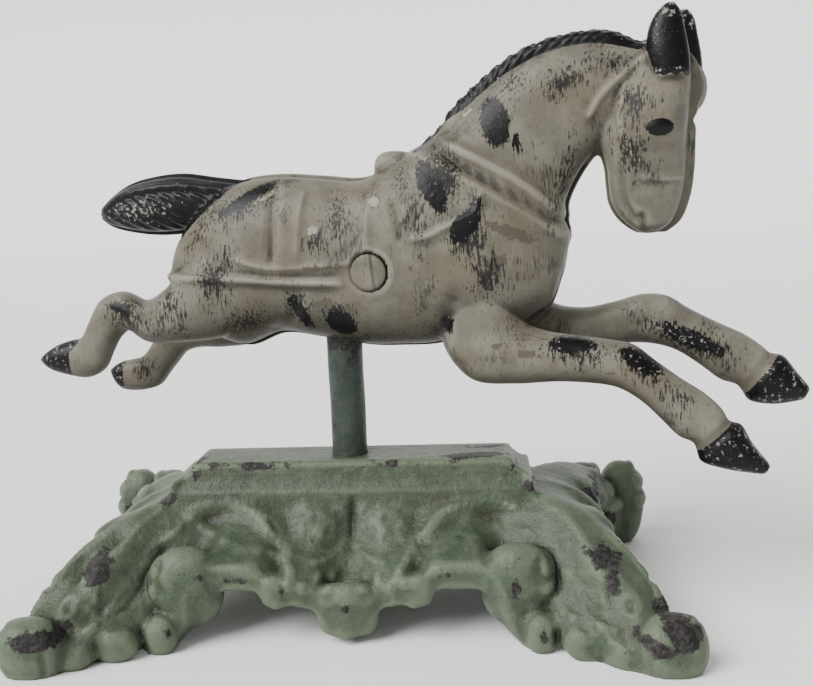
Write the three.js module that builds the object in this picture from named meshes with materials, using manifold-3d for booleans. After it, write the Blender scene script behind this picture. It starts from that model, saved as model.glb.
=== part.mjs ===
// Carousel horse ornament in painted cast iron, millimetres, +Z up.
//
// Five pieces: two half castings that meet on the horse's centre plane, the
// slotted screw that joins them, the half-inch rod that carries the horse, and
// the hollow cast stand with four splayed feet.
//
// The stand's long side lies along X. The horse has its own frame, with its
// origin on the rod's axis, its nose towards +X and its centre plane at y = 0,
// and is turned on the rod by HORSE_TURN.

import * as THREE from 'three';
import { mergeVertices } from 'three/addons/utils/BufferGeometryUtils.js';
import Module from 'manifold-3d';

// Driving dimensions.
const ROD_DIAMETER = 12.7;
const ROD_TOP = 112;
const HORSE_TURN = THREE.MathUtils.degToRad(-10);
const PLATE_TOP = 54.5;
const PIECE_GAP = 0.3;          // clearance between two pieces that touch
const WELD = 0.004;
const LEFT_LIP = 1.2;           // the left casting stands proud of the joint
const SCREW_HEAD = { x: 16, z: 120.7, diameter: 12, height: 2.4, slot: 1.6 };
const SCREW_SHANK = { diameter: 5, length: 34 };

// Stations of the body, from rump to chest. Each is one cross-section of the
// casting: [upper x, upper z, lower x, lower z, half width].
const TRUNK = [
  [-61, 127, -62.5, 119, 5],
  [-55, 136, -60, 108, 13],
  [-46, 145.5, -49, 99, 17.5],
  [-34, 151.5, -36, 94.5, 20],
  [-20, 152.8, -22, 99, 20],
  [-5, 151.6, -8, 97.5, 19.5],
  [11, 150.6, 10, 94.6, 20.5],
  [24, 157, 22, 94.5, 21.5],
  [36, 162, 33, 95, 21.5],
  [50, 158, 47, 98, 20.5],
  [64, 149, 62, 101, 17.5],
  [75, 138, 72, 107, 12],
  [79, 131.5, 77, 119, 6],
];
const NECK = [
  [26, 156, 66, 112, 17],
  [38, 164, 76, 133, 15.5],
  [47, 172.5, 78.5, 142.5, 13],
  [60, 182.5, 83, 151, 11.5],
  [75, 189.5, 88.5, 157.5, 10.5],
  [90, 190.5, 93, 160, 10],
  [101, 188.5, 99, 164, 8],
];
const HEAD = [
  [100, 189.3, 84, 168, 6],
  [110, 187, 87.5, 160, 10.5],
  [116, 180.5, 89.5, 155.5, 12.5],
  [116, 170, 90.8, 151, 12.8],
  [115.3, 159, 91.3, 146, 11.5],
  [115, 149.5, 92.2, 140, 9.6],
  [113.8, 141, 95, 135, 9],
  [110.8, 133.5, 99, 131.4, 7.6],
  [106.5, 130, 101.5, 129.9, 3.5],
];
const TAIL = [
  [-32, 151, -38, 136, 6],
  [-45, 152.8, -49, 136.5, 7.5],
  [-57, 154.6, -59, 135.2, 8.5],
  [-68, 154.1, -69, 135, 8.5],
  [-79, 151.7, -79, 136.2, 7],
  [-87, 147.2, -87, 138.2, 4.5],
  [-91.8, 143.2, -91.8, 141.2, 1.2],
];

// Stations of the legs: [upper x, upper z, lower x, lower z, centre |y|, half
// width]. The last three of each are the hoof.
const RIGHT_FORELEG = [
  [54, 120, 36, 98.5, 8, 9],
  [60, 109, 41, 90, 10.5, 9.5],
  [65, 103, 48.5, 83.9, 12, 9.2],
  [72, 100.3, 62, 83.2, 13, 8.3],
  [82, 98.8, 76, 84, 13, 7.2],
  [92, 97.5, 89.5, 83.3, 13, 6.8],
  [99, 96, 95, 82, 13, 6.8],
  [106, 90.8, 101.5, 78, 13, 6],
  [114, 85, 107.5, 72.3, 13, 5.3],
  [121, 80.4, 113, 66.8, 13, 5.3],
  [126, 75.5, 117.2, 65, 13, 5.9],
  [128.2, 71.8, 118.5, 61.8, 13, 5.4],
  [131.5, 70.9, 119.4, 59.2, 13, 6.6],
  [135, 65, 127, 56.8, 13, 6],
  [140.3, 58.2, 138, 55.4, 13, 3.4],
];
const LEFT_FORELEG = [
  [60, 122, 44, 98, 9, 9],
  [70, 107, 60, 91.5, 11, 9.5],
  [81, 104, 76, 90.5, 12.5, 8.3],
  [92, 105.8, 90, 92.2, 12.5, 7.2],
  [102, 108.4, 100, 93.1, 12.5, 6.8],
  [109.5, 107.8, 107.5, 92.3, 12.5, 6.8],
  [117, 103.3, 113.5, 90.2, 12.5, 6],
  [126, 98.6, 120.5, 85.6, 12.5, 5.3],
  [134, 94.8, 127.5, 80.4, 12.5, 5.3],
  [139.5, 91, 132.5, 78.8, 12.5, 5.9],
  [142.3, 88.5, 134.6, 76, 12.5, 5.4],
  [146.3, 87.6, 136.3, 73.6, 12.5, 6.6],
  [150.5, 82.4, 144, 72.4, 12.5, 6],
  [154.8, 77, 153, 73.9, 12.5, 3.4],
];
const RIGHT_HIND_LEG = [
  [-34, 140, -20, 108, 9, 9],
  [-48, 128, -40, 98.5, 11, 11],
  [-60, 116, -55, 97, 12.5, 9.5],
  [-69, 111.8, -68, 96.8, 12.5, 7.2],
  [-78, 115, -76, 101, 12.5, 6.4],
  [-86, 112.4, -81, 98, 12.5, 6.2],
  [-92, 104, -84.5, 92.5, 12.5, 5.3],
  [-95.8, 98.5, -88, 86.6, 12.5, 5.1],
  [-101, 97.3, -94, 83.7, 12.5, 5.6],
  [-106, 95.7, -101, 84.4, 12.5, 5.4],
  [-110.4, 93.2, -107.5, 86.2, 12.5, 4.8],
  [-113.5, 90.8, -112, 89, 12.5, 2.4],
];
const LEFT_HIND_LEG = [
  [-34, 138, -20, 104, 9, 9],
  [-46, 122, -38, 93, 11, 10.5],
  [-56, 110, -51, 91, 12, 9],
  [-63, 104, -61, 90.8, 12, 7.2],
  [-70, 104, -67.5, 89, 12, 6.4],
  [-77, 99, -71.5, 85, 12, 6.2],
  [-81.5, 92, -75.5, 80.5, 12, 5.3],
  [-86, 87.3, -79.5, 76, 12, 5.1],
  [-91, 86, -84.5, 74.3, 12, 5.6],
  [-95.5, 85, -90.5, 73.7, 12, 5.4],
  [-98.5, 83.4, -95, 74.5, 12, 4.8],
  [-100.6, 81.8, -98.5, 79.6, 12, 2.4],
];
const RIGHT_EAR = [
  [116, 177.5, 105.5, 176.5, 9, 4.2],
  [115.6, 184, 103.2, 184.5, 8.6, 4.2],
  [114.4, 190.5, 103.4, 191, 8, 3.5],
  [113.2, 196, 106, 196.4, 7.6, 2.3],
  [111.3, 199, 108.8, 199, 7.4, 0.9],
];
const EAR_STEP = 4.5;           // the left ear stands this much further forward
const FACE_STEP = 1.8;          // and the left side of the face this much
// The mane's band, from withers to poll, and the locks along it.
const MANE = [
  [35, 163.5, 42, 159, 7],
  [41.5, 172.5, 49, 166, 6.5],
  [48.8, 179, 55, 173, 6],
  [56, 184.5, 61, 178.5, 6],
  [65.5, 189.8, 68.5, 183.5, 6],
  [80, 193.2, 80.5, 186.5, 6],
  [92, 193, 91, 186.5, 6],
  [101, 188.8, 98, 184.5, 4],
];
const MANE_LOCKS = 13;
// Harness on each flank: [x, z] along each strap, and the strap's radius.
const STRAPS = [
  { radius: 1.9, route: [[33, 161.5], [42, 158.5], [57, 151], [67, 144], [76.5, 135]] },
  { radius: 1.7, route: [[28.5, 157], [38, 152], [48, 146.5], [60, 139.5], [77, 128.5]] },
  { radius: 1.5, route: [[-61, 118], [-40, 117], [-20, 116], [2, 116]] },
  { radius: 1.4, route: [[-38, 125], [-22, 122], [4, 123.5]] },
  { radius: 1.3, route: [[12, 149], [13.5, 140], [13.5, 129]] },
  { radius: 1.2, route: [[-26, 150], [-27, 140], [-26, 125]] },
];
const BRIDLE = [
  { radius: 1.1, route: [[103, 183], [94, 176], [87, 168], [85, 162]] },
  { radius: 1.1, route: [[113.5, 150], [109, 149], [103, 148.6], [97, 149], [93.5, 149.6]] },
];

// Solids from three.js geometry, joined and cut.
const wasm = await Module();
wasm.setup();

function solid(geometry) {
  const bare = geometry.clone();
  bare.deleteAttribute('normal');
  bare.deleteAttribute('uv');
  const merged = mergeVertices(bare, 1e-4);
  return new wasm.Manifold(new wasm.Mesh({
    numProp: 3,
    vertProperties: new Float32Array(merged.attributes.position.array),
    triVerts: new Uint32Array(merged.index.array),
  }));
}

// The joined solid as a geometry, with the specks welded away that a cut
// leaves where surfaces nearly meet.
function geometryOf(manifold) {
  const mesh = manifold.getMesh();
  const cut = new THREE.BufferGeometry();
  cut.setAttribute('position', new THREE.BufferAttribute(new Float32Array(mesh.vertProperties), 3));
  cut.setIndex(new THREE.BufferAttribute(new Uint32Array(mesh.triVerts), 1));
  const geometry = mergeVertices(cut, WELD);
  const faces = [];
  const index = geometry.index.array;
  for (let i = 0; i < index.length; i += 3) {
    const [a, b, c] = [index[i], index[i + 1], index[i + 2]];
    if (a !== b && b !== c && c !== a) faces.push(a, b, c);
  }
  geometry.setIndex(faces);
  geometry.computeVertexNormals();
  return geometry;
}

// A closed skin over rings of equal length, with a fan at each end. Each ring
// is a list of Vector3.
function skin(rings) {
  const sides = rings[0].length;
  const positions = [];
  const index = [];
  for (const ring of rings) for (const p of ring) positions.push(p.x, p.y, p.z);
  for (let k = 0; k + 1 < rings.length; k++) {
    for (let i = 0; i < sides; i++) {
      const a = k * sides + i;
      const b = k * sides + (i + 1) % sides;
      index.push(a, b, a + sides, b, b + sides, a + sides);
    }
  }
  const ends = [[0, 1], [rings.length - 1, -1]];
  for (const [k, turn] of ends) {
    const middle = rings[k].reduce((sum, p) => sum.add(p), new THREE.Vector3()).divideScalar(sides);
    const tip = positions.length / 3;
    positions.push(middle.x, middle.y, middle.z);
    for (let i = 0; i < sides; i++) {
      const a = k * sides + i;
      const b = k * sides + (i + 1) % sides;
      if (turn > 0) index.push(tip, b, a);
      else index.push(tip, a, b);
    }
  }
  const geometry = new THREE.BufferGeometry();
  geometry.setAttribute('position', new THREE.Float32BufferAttribute(positions, 3));
  geometry.setIndex(index);
  return geometry;
}

// The skin's faces point outward when its volume is positive.
function outward(geometry) {
  const p = geometry.attributes.position;
  const index = geometry.index.array;
  const [a, b, c] = [new THREE.Vector3(), new THREE.Vector3(), new THREE.Vector3()];
  let volume = 0;
  for (let i = 0; i < index.length; i += 3) {
    a.fromBufferAttribute(p, index[i]);
    b.fromBufferAttribute(p, index[i + 1]);
    c.fromBufferAttribute(p, index[i + 2]);
    volume += a.dot(b.cross(c));
  }
  for (let i = 0; volume < 0 && i < index.length; i += 3) {
    [index[i], index[i + 1]] = [index[i + 1], index[i]];
  }
  return geometry;
}

// A loft through stations: smooth curves join the upper points, the lower
// points and the widths, and every section is a superellipse.
function loft(stations, { side = 1, steps = 3, sides = 16, squareness = 2.3, lip = 0, scallops = 0 } = {}) {
  const limb = stations[0].length === 6;
  const upper = new THREE.CatmullRomCurve3(stations.map((s) => new THREE.Vector3(s[0], 0, s[1])));
  const lower = new THREE.CatmullRomCurve3(stations.map((s) => new THREE.Vector3(s[2], 0, s[3])));
  const width = new THREE.CatmullRomCurve3(stations.map((s, k) => (
    new THREE.Vector3(k, limb ? s[4] * side : 0, limb ? s[5] : s[4]))));
  const count = (stations.length - 1) * steps;
  const round = (v) => Math.sign(v) * Math.abs(v) ** (2 / squareness);
  const rings = [];
  for (let k = 0; k <= count; k++) {
    const t = k / count;
    const u = upper.getPoint(t);
    const l = lower.getPoint(t);
    const w = width.getPoint(t);
    const middle = u.clone().add(l).multiplyScalar(0.5);
    const reach = u.clone().sub(l).multiplyScalar(0.5);
    reach.setLength(reach.length() + lip + (scallops ? Math.abs(Math.sin(t * scallops * Math.PI)) - 0.6 : 0));
    const ring = [];
    for (let i = 0; i < sides; i++) {
      const angle = (i + 0.5) * 2 * Math.PI / sides;
      ring.push(new THREE.Vector3(0, w.y + round(Math.sin(angle)) * w.z, 0)
        .add(middle).addScaledVector(reach, round(Math.cos(angle))));
    }
    rings.push(ring);
  }
  return outward(skin(rings));
}

const joined = (solids) => solids.reduce((all, one) => all.add(one));

function boxSolid(x0, x1, y0, y1, z0, z1) {
  const box = new THREE.BoxGeometry(x1 - x0, y1 - y0, z1 - z0);
  return solid(box.translate((x0 + x1) / 2, (y0 + y1) / 2, (z0 + z1) / 2));
}

function uprightCylinder(radius, z0, z1, sides = 24) {
  const cylinder = new THREE.CylinderGeometry(radius, radius, z1 - z0, sides);
  return cylinder.rotateX(Math.PI / 2).translate(0, 0, (z0 + z1) / 2);
}

// A strap lying on the flank: its route is dropped onto the surface of
// "ground" from the side, and a half-sunk tube follows it.
function strap(ground, side, { route, radius }) {
  const ray = new THREE.Raycaster();
  const points = route.map(([x, z]) => {
    ray.set(new THREE.Vector3(x, side * 60, z), new THREE.Vector3(0, -side, 0));
    const hit = ray.intersectObject(ground)[0];
    return new THREE.Vector3(x, hit ? hit.point.y : side * 4, z);
  });
  const section = new THREE.Shape(new THREE.EllipseCurve(0, 0, radius, radius).getPoints(5).slice(0, 5));
  const along = new THREE.CatmullRomCurve3(points);
  const sweep = { extrudePath: along, steps: route.length, bevelEnabled: false };
  const tube = new THREE.ExtrudeGeometry(section, sweep);
  tube.deleteAttribute('normal');
  tube.deleteAttribute('uv');
  return outward(mergeVertices(tube, 1e-4));
}

function ellipsoid(centre, radii, [around, down] = [10, 6]) {
  return new THREE.SphereGeometry(1, around, down).scale(...radii).translate(...centre);
}

function half(side) {
  const right = side < 0;
  const lip = right ? 0 : LEFT_LIP;
  const forward = (stations, step, both) => (right ? stations
    : stations.map(([a, b, c, ...rest]) => [a + step, b, c + (both ? step : 0), ...rest]));
  const trunk = loft(TRUNK, { side, lip, sides: 14, steps: 1, squareness: 2.4 });
  const neck = loft(NECK, { side, lip, sides: 14, steps: 2, squareness: 2.5 });
  const head = loft(forward(HEAD, FACE_STEP, false), { side, lip, sides: 14, steps: 1, squareness: 2.8 });
  const ground = new THREE.Group();
  for (const geometry of [trunk, neck, head]) {
    ground.add(new THREE.Mesh(geometry, new THREE.MeshBasicMaterial({ side: THREE.DoubleSide })));
  }
  const bodies = [
    trunk, neck, head,
    loft(TAIL, { side, lip, sides: 10, steps: 1 }),
    loft(right ? RIGHT_FORELEG : LEFT_FORELEG, { side, lip: lip / 2, steps: 1, sides: 10 }),
    loft(right ? RIGHT_HIND_LEG : LEFT_HIND_LEG, { side, steps: 1, sides: 10 }),
    loft(forward(RIGHT_EAR, EAR_STEP, true), { side, steps: 1, sides: 8 }),
    loft(MANE, { side, lip: lip / 2, sides: 6, steps: 4, scallops: MANE_LOCKS }),
    ellipsoid([107, side * 11.4, 162.3], [3.6, 1.8, 2], [8, 5]),
    ellipsoid([21, 0, 153], [6.5, 8, 5]),
    ...[...STRAPS, ...BRIDLE].map((one) => strap(ground, side, one)),
  ];
  if (!right) bodies.push(ellipsoid([116, 4, 174.5], [5.6, 6, 8]));
  const edge = PIECE_GAP / 2;
  const room = right ? boxSolid(-200, 200, -60, -edge, 0, 260) : boxSolid(-200, 200, edge, 60, 0, 260);
  const rodHole = solid(uprightCylinder(ROD_DIAMETER / 2 + PIECE_GAP, 60, ROD_TOP + PIECE_GAP));
  return geometryOf(joined(bodies.map(solid)).intersect(room).subtract(rodHole).subtract(screwRoom()));
}

// The screw's axis runs across the horse, from the right flank inwards.
function across(radius, from, to, sides) {
  return new THREE.CylinderGeometry(radius, radius, to - from, sides)
    .translate(SCREW_HEAD.x, (from + to) / 2, SCREW_HEAD.z);
}

const SCREW_FACE = -21.6;       // y of the head's face, just proud of the flank

function screwRoom() {
  const seat = SCREW_FACE + SCREW_HEAD.height + PIECE_GAP;
  const head = solid(across(SCREW_HEAD.diameter / 2 + PIECE_GAP, -40, seat, 24));
  const end = SCREW_FACE + SCREW_SHANK.length + PIECE_GAP;
  return head.add(solid(across(SCREW_SHANK.diameter / 2 + PIECE_GAP, -20, end, 16)));
}

function screw() {
  const head = solid(across(SCREW_HEAD.diameter / 2, SCREW_FACE, SCREW_FACE + SCREW_HEAD.height, 24));
  const shank = solid(across(SCREW_SHANK.diameter / 2, -20, SCREW_FACE + SCREW_SHANK.length, 16));
  const slot = new THREE.BoxGeometry(SCREW_HEAD.slot, 2, 20).rotateY(0.12)
    .translate(SCREW_HEAD.x, SCREW_FACE, SCREW_HEAD.z);
  return geometryOf(head.add(shank).subtract(solid(slot)));
}

// The stand, in a frame of its own: centred on the plate, long side along X.
const STAND_OFFSET = 1.2;       // plate's centre ahead of the rod's axis
const PLATE = { length: 112, width: 21, edge: 1.6 };
const LEDGE = { length: 126, width: 30, top: 46, bottom: 41.5, endRise: 3.5 };
const FEET = { length: 217, width: 123 };
const APRON_REACH = 38;         // from the long axis to the apron's lower edge
const END_REACH = 87;           // from the middle to an end panel's lower edge
const APRON_EDGE = 18.5;        // height of the apron's plain lower edge
const END_EDGE = 24;
// Rounded lumps cast on each leg: foot and knob, and at the back a shoulder too.
const LUMP_SHIFT = 1.5;
const FRONT_LUMPS = [
  { centre: [100, 55, 7], radii: [10.5, 7.5, 10.5] },
  { centre: [62, 42, 5.5], radii: [4.6, 4.6, 6] },
];
const REAR_LUMPS = [
  { centre: [100.5, 53.5, 16], radii: [9.5, 8.5, 18] },
  { centre: [84, 45, 29], radii: [7.5, 6, 7] },
  { centre: [62, 42, 4], radii: [4.6, 4.6, 6] },
];
const WALL = 4.5;
const CORNER_DRAW = 0.045;      // how far the feet's corners are rounded in
const FOOT_TRIM = 1;            // the feet are cast this much long and ground flat
const RIM = 8;                  // upright rim along every lower edge
const ROD_PLATE = 6;            // thickness of metal under the plate

const bump = (d, width) => Math.exp(-((d / width) ** 2));
const ramp = (t, a, b) => THREE.MathUtils.smoothstep(t, a, b);

// Height of the lower edge along a long side: the pendant in the middle, a
// roll on each side of it, the plain apron, then the leg down to its foot.
function apronEdge(x) {
  const u = Math.abs(x);
  const apron = APRON_EDGE - 17 * bump(u, 10.5) - 3.5 * bump(u - 15, 4) - 6 * bump(u - 23, 4.5);
  const leg = 2.6 * bump(u - 73, 6) + 1.8 * bump(u - 82.5, 1.6);
  return THREE.MathUtils.lerp(apron, leg, ramp(u, 44, 61));
}

function endEdge(y) {
  const u = Math.abs(y) / (FEET.width / 2);
  return END_EDGE * (1 - ramp(u, 0.45, 0.95)) - 3 * bump(u, 0.2);
}

// Carving on the long sides, as height over the plain surface. x and z are
// measured from the middle of the plate and from the floor.
function longSideCarving(x, z) {
  const u = Math.abs(x);
  const plume = 2.2 * bump(z - (42.5 - 0.022 * (u - 47) ** 2), 2.4) * ramp(u, 10, 18) * (1 - ramp(u, 52, 60));
  const stem = 1.6 * bump(z - (23 + 0.2 * (u - 14)), 2.2) * ramp(u, 8, 14) * (1 - ramp(u, 56, 68));
  const rose = 2.8 * bump(Math.hypot(u - 11, (z - 35.5) * 1.1), 6);
  const crease = -1.5 * bump(u, 1.5) * bump(z - 35, 7);
  const fronds = 1.4 * bump(z - 24, 4) * bump(u, 16);
  const pendant = 2.4 * bump(u, 7) * bump(z - 10, 8);
  const roll = 3 * bump(u - 23, 4) * (1 - ramp(z, 19, 25));
  const volute = 4.6 * bump(Math.hypot(u - 53.5, (z - 19) * 0.9), 9);
  const shoulder = 3 * bump(Math.hypot(u - 81, z - 27), 8);
  const hollow = -3 * bump(Math.hypot(u - 68, z - 17), 7);
  return plume + stem + rose + crease + fronds + pendant + roll + volute + shoulder + hollow;
}

function endCarving(y, z) {
  const u = Math.abs(y);
  const curl = 2.2 * bump(Math.hypot(u - 17, z - 34), 6);
  const stem = 2 * bump(u, 3) * bump(z - 34, 10);
  const groove = -1.2 * bump(u - 8, 3) * bump(z - 32, 6);
  return curl + stem + groove;
}

// One column of the stand: where a vertical slice meets the plate, the ledge
// and the lower edge. side 0 is the long side at -Y, and so on anticlockwise.
const SPREAD = 0.85;            // how far the columns crowd the ledge's corners
const LONG_SIDE_COLUMNS = 24;
const END_COLUMNS = 8;
function columns() {
  const list = [];
  for (let side = 0; side < 4; side++) {
    const long = side % 2 === 0;
    const count = long ? LONG_SIDE_COLUMNS : END_COLUMNS;
    const sign = side === 0 || side === 3 ? -1 : 1;
    for (let i = 0; i < count; i++) {
      const t = (2 * i / count - 1) * (side < 2 ? 1 : -1);
      list.push({ long, t, sign });
    }
  }
  return list;
}

function columnPoints({ long, t, sign }) {
  const away = Math.abs(t);
  const pick = (along, across, z) => (long
    ? new THREE.Vector3(along, sign * across, z) : new THREE.Vector3(sign * along, across, z));
  const points = [];
  const spread = t * (1 + SPREAD * (1 - away));
  const frame = (part, z, grow = 0) => (long
    ? pick(spread * (part.length / 2 + grow), part.width / 2 + grow, z)
    : pick(part.length / 2 + grow, spread * (part.width / 2 + grow), z));
  points.push(frame(PLATE, PLATE_TOP));
  points.push(frame(PLATE, PLATE_TOP - PLATE.edge, 0.3));
  const rise = long ? LEDGE.endRise * ramp(away, 0.97, 1) : LEDGE.endRise;
  points.push(frame(LEDGE, LEDGE.top + 2 + rise / 2, -3));
  points.push(frame(LEDGE, LEDGE.top + rise, -1.2));
  points.push(frame(LEDGE, LEDGE.top - 1.2 + rise));
  points.push(frame(LEDGE, LEDGE.bottom + rise / 2));
  const top = points[points.length - 1];
  const { lerp } = THREE.MathUtils;
  const along = long ? FEET.length / 2 * t : lerp(END_REACH, FEET.length / 2, ramp(away, 0.3, 1));
  const across = long ? lerp(APRON_REACH, FEET.width / 2, ramp(away, 0.4, 1)) : FEET.width / 2 * t;
  const edge = long ? apronEdge(along) : endEdge(across);
  const drawn = 1 - CORNER_DRAW * bump(1 - away, 0.06);
  const low = pick(along * drawn, across * drawn, edge < 0.5 ? -FOOT_TRIM : edge);
  const crest = long ? ramp(away, 0.5, 1) : 1;
  const rear = long ? (sign + 1) / 2 : ramp(t, -1, 1);
  const nose = long ? (t + 1) / 2 : (sign + 1) / 2;
  const shell = [];
  const plain = [];
  const steps = [0.16, 0.32, 0.5, 0.68, 0.85, 1];
  for (const v of steps) {
    const out = lerp(v ** 1.35, v ** lerp(1.12, 0.86, nose), crest);
    const down = lerp(v ** 0.9, v ** lerp(1.2, 2.3, rear), crest);
    const p = top.clone().lerp(low, out);
    p.z = lerp(top.z, low.z + RIM, down);
    plain.push(p.clone());
    const height = (long ? longSideCarving(p.x, p.z) : endCarving(p.y, p.z)) * ramp(v, 0, 0.14);
    const outward = long ? new THREE.Vector3(0, sign, 0.5) : new THREE.Vector3(sign, 0, 0.7);
    shell.push(p.addScaledVector(outward.normalize(), height));
  }
  points.push(...shell);
  const rim = shell[shell.length - 1].clone();
  rim.z = low.z;
  points.push(rim);
  // The inner wall: the same rings drawn in towards the middle.
  const inner = (p, v, z, wall) => new THREE.Vector3(
    p.x * (1 - 1.2 * wall / lerp(LEDGE.length / 2, END_REACH, v ** 0.9)),
    p.y * (1 - wall / lerp(LEDGE.width / 2, APRON_REACH, v ** 1.35)), z);
  points.push(inner(rim, 1, rim.z, WALL));
  points.push(inner(plain[5], steps[5], plain[5].z - 2, WALL));
  points.push(inner(plain[3], steps[3], plain[3].z - 4, WALL + 1));
  points.push(inner(plain[1], steps[1], plain[1].z - 4, WALL + 1));
  points.push(inner(top, 0, PLATE_TOP - ROD_PLATE - 9, WALL + 2));
  return points;
}

function stand() {
  const around = columns().map(columnPoints);
  const rings = around[0].map((_, k) => around.map((column) => column[k]));
  const under = PLATE_TOP - ROD_PLATE;
  rings.push(rings[rings.length - 1].map((p) => new THREE.Vector3(p.x * 0.8, p.y * 0.7, under)));
  let body = solid(outward(skin(rings)));
  for (const sy of [-1, 1]) {
    for (const sx of [-1, 1]) {
      for (const { centre: [x, y, z], radii } of sy < 0 ? FRONT_LUMPS : REAR_LUMPS) {
        body = body.add(solid(ellipsoid([sx * x + LUMP_SHIFT, sy * y, z], radii, [8, 5])));
      }
    }
  }
  const floor = boxSolid(-150, 150, -100, 100, -30, 0);
  const rodHole = solid(uprightCylinder(ROD_DIAMETER / 2 + PIECE_GAP, 30, 70).translate(-STAND_OFFSET, 0, 0));
  return geometryOf(body.subtract(floor).subtract(rodHole)).translate(STAND_OFFSET, 0, 0);
}

const horsePaint = { color: 0x9a968a, roughness: 0.55, metalness: 0.0 };
const standPaint = { color: 0x5f735a, roughness: 0.5, metalness: 0.0 };

function piece(name, geometry, look) {
  const mesh = new THREE.Mesh(geometry, new THREE.MeshStandardMaterial(look));
  mesh.name = name;
  return mesh;
}

const horse = new THREE.Group();
horse.rotation.z = HORSE_TURN;
horse.add(piece('horse_right_half', half(-1), horsePaint));
horse.add(piece('horse_left_half', half(1), horsePaint));
horse.add(piece('joining_screw', screw(), horsePaint));

const object = new THREE.Group();
object.add(horse);
object.add(piece('base', stand(), standPaint));
object.add(piece('pole', uprightCylinder(ROD_DIAMETER / 2, PLATE_TOP - ROD_PLATE, ROD_TOP), standPaint));

// The origin is under the middle of the whole ornament, on the floor.
const bounds = new THREE.Box3().setFromObject(object, true);
object.position.set(-(bounds.min.x + bounds.max.x) / 2, -(bounds.min.y + bounds.max.y) / 2, -bounds.min.z);
export default object;
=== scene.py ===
import math

import bmesh
import bpy
import numpy as np
from mathutils import Matrix, Vector


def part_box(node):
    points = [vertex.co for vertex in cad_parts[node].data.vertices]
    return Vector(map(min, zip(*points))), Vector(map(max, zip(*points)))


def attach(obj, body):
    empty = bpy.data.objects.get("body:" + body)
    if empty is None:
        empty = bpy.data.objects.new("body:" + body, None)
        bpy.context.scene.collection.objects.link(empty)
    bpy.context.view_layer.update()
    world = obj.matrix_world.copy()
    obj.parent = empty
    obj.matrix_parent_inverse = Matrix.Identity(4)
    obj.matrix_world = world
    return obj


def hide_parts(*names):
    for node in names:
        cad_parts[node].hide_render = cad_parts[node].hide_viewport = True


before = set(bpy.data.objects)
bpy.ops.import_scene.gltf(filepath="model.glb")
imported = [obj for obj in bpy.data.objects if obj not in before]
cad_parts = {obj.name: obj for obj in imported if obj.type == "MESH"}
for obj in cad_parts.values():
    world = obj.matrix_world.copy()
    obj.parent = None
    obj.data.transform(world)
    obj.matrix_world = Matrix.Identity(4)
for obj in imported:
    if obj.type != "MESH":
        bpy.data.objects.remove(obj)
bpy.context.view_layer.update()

# ---- Camera, table and lamps -------------------------------------------------
# The ornament stands on a pale seamless table. The camera looks at it from a
# little above, square to the stand's long side, under broad soft lamps.

MM = 0.001
pole_low, pole_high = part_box("pole")
rod_axis = (pole_low + pole_high) / 2
rod_axis.z = 0.0


def linear(hex_colour):
    """An sRGB hex colour as linear RGBA."""
    parts = [int(hex_colour[i:i + 2], 16) / 255 for i in (1, 3, 5)]
    return [c / 12.92 if c <= 0.04045 else ((c + 0.055) / 1.055) ** 2.4 for c in parts] + [1.0]


def add_node(tree, kind, inputs, out=0, **settings):
    """Adds a node with its settings, fills or links its inputs, and gives back one of its outputs."""
    node = tree.nodes.new("ShaderNode" + kind)
    for name, value in settings.items():
        setattr(node, name, value)
    for key, value in inputs.items():
        if isinstance(value, bpy.types.NodeSocket):
            tree.links.new(value, node.inputs[key])
        else:
            node.inputs[key].default_value = value
    return node.outputs[out] if node.outputs else None


def new_material(name):
    material = bpy.data.materials.new(name)
    material.use_nodes = True
    material.node_tree.nodes.clear()
    return material, material.node_tree


def new_object(name, vertices, faces):
    mesh = bpy.data.meshes.new(name)
    mesh.from_pydata([tuple(v) for v in vertices], [], [tuple(f) for f in faces])
    mesh.update()
    piece = bpy.data.objects.new(name, mesh)
    bpy.context.scene.collection.objects.link(piece)
    return piece


def shade_softly(mesh):
    for face in mesh.polygons:
        face.use_smooth = True


# The camera: its turns in radians, and its place in mm from the rod's foot.
YAW, PITCH, ROLL = 0.07627, 0.15811, -0.04032
CAMERA_PLACE = (46.81, -326.93, 145.9)
forward = Vector((-math.sin(YAW) * math.cos(PITCH), math.cos(YAW) * math.cos(PITCH), -math.sin(PITCH)))
level = Vector((math.cos(YAW), math.sin(YAW), 0.0))
upright = level.cross(forward)
right = math.cos(ROLL) * level + math.sin(ROLL) * upright
up = -math.sin(ROLL) * level + math.cos(ROLL) * upright
camera = bpy.data.objects.new("camera", bpy.data.cameras.new("camera"))
camera.matrix_world = Matrix((right, up, -forward)).transposed().to_4x4()
camera.location = rod_axis + Vector(CAMERA_PLACE) * MM
camera.data.sensor_width = 36.0
camera.data.lens = 41.9
camera.data.clip_start = 0.01
bpy.context.scene.collection.objects.link(camera)
bpy.context.scene.camera = camera

# The table: a large sheet that curves up behind, matt and nearly white.
TABLE = {"half_width": 6.0, "front": -6.0, "bend": 2.5, "radius": 1.5, "rise": 6.0}
table_line = [(TABLE["front"], 0.0)]
for step in range(13):
    turn = math.radians(90 * step / 12)
    table_line.append((TABLE["bend"] + TABLE["radius"] * math.sin(turn),
                       TABLE["radius"] * (1 - math.cos(turn))))
table_line.append((TABLE["bend"] + TABLE["radius"], TABLE["rise"]))
table_points = [(side * TABLE["half_width"], y, z) for y, z in table_line for side in (-1, 1)]
table = new_object("table", table_points,
                   [(2 * i, 2 * i + 1, 2 * i + 3, 2 * i + 2) for i in range(len(table_line) - 1)])
table_paint, tree = new_material("matt white table")
shader = add_node(tree, "BsdfPrincipled", {"Base Color": linear("#fafaf9"), "Roughness": 0.9})
add_node(tree, "OutputMaterial", {"Surface": shader})
table.data.materials.append(table_paint)
shade_softly(table.data)

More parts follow.
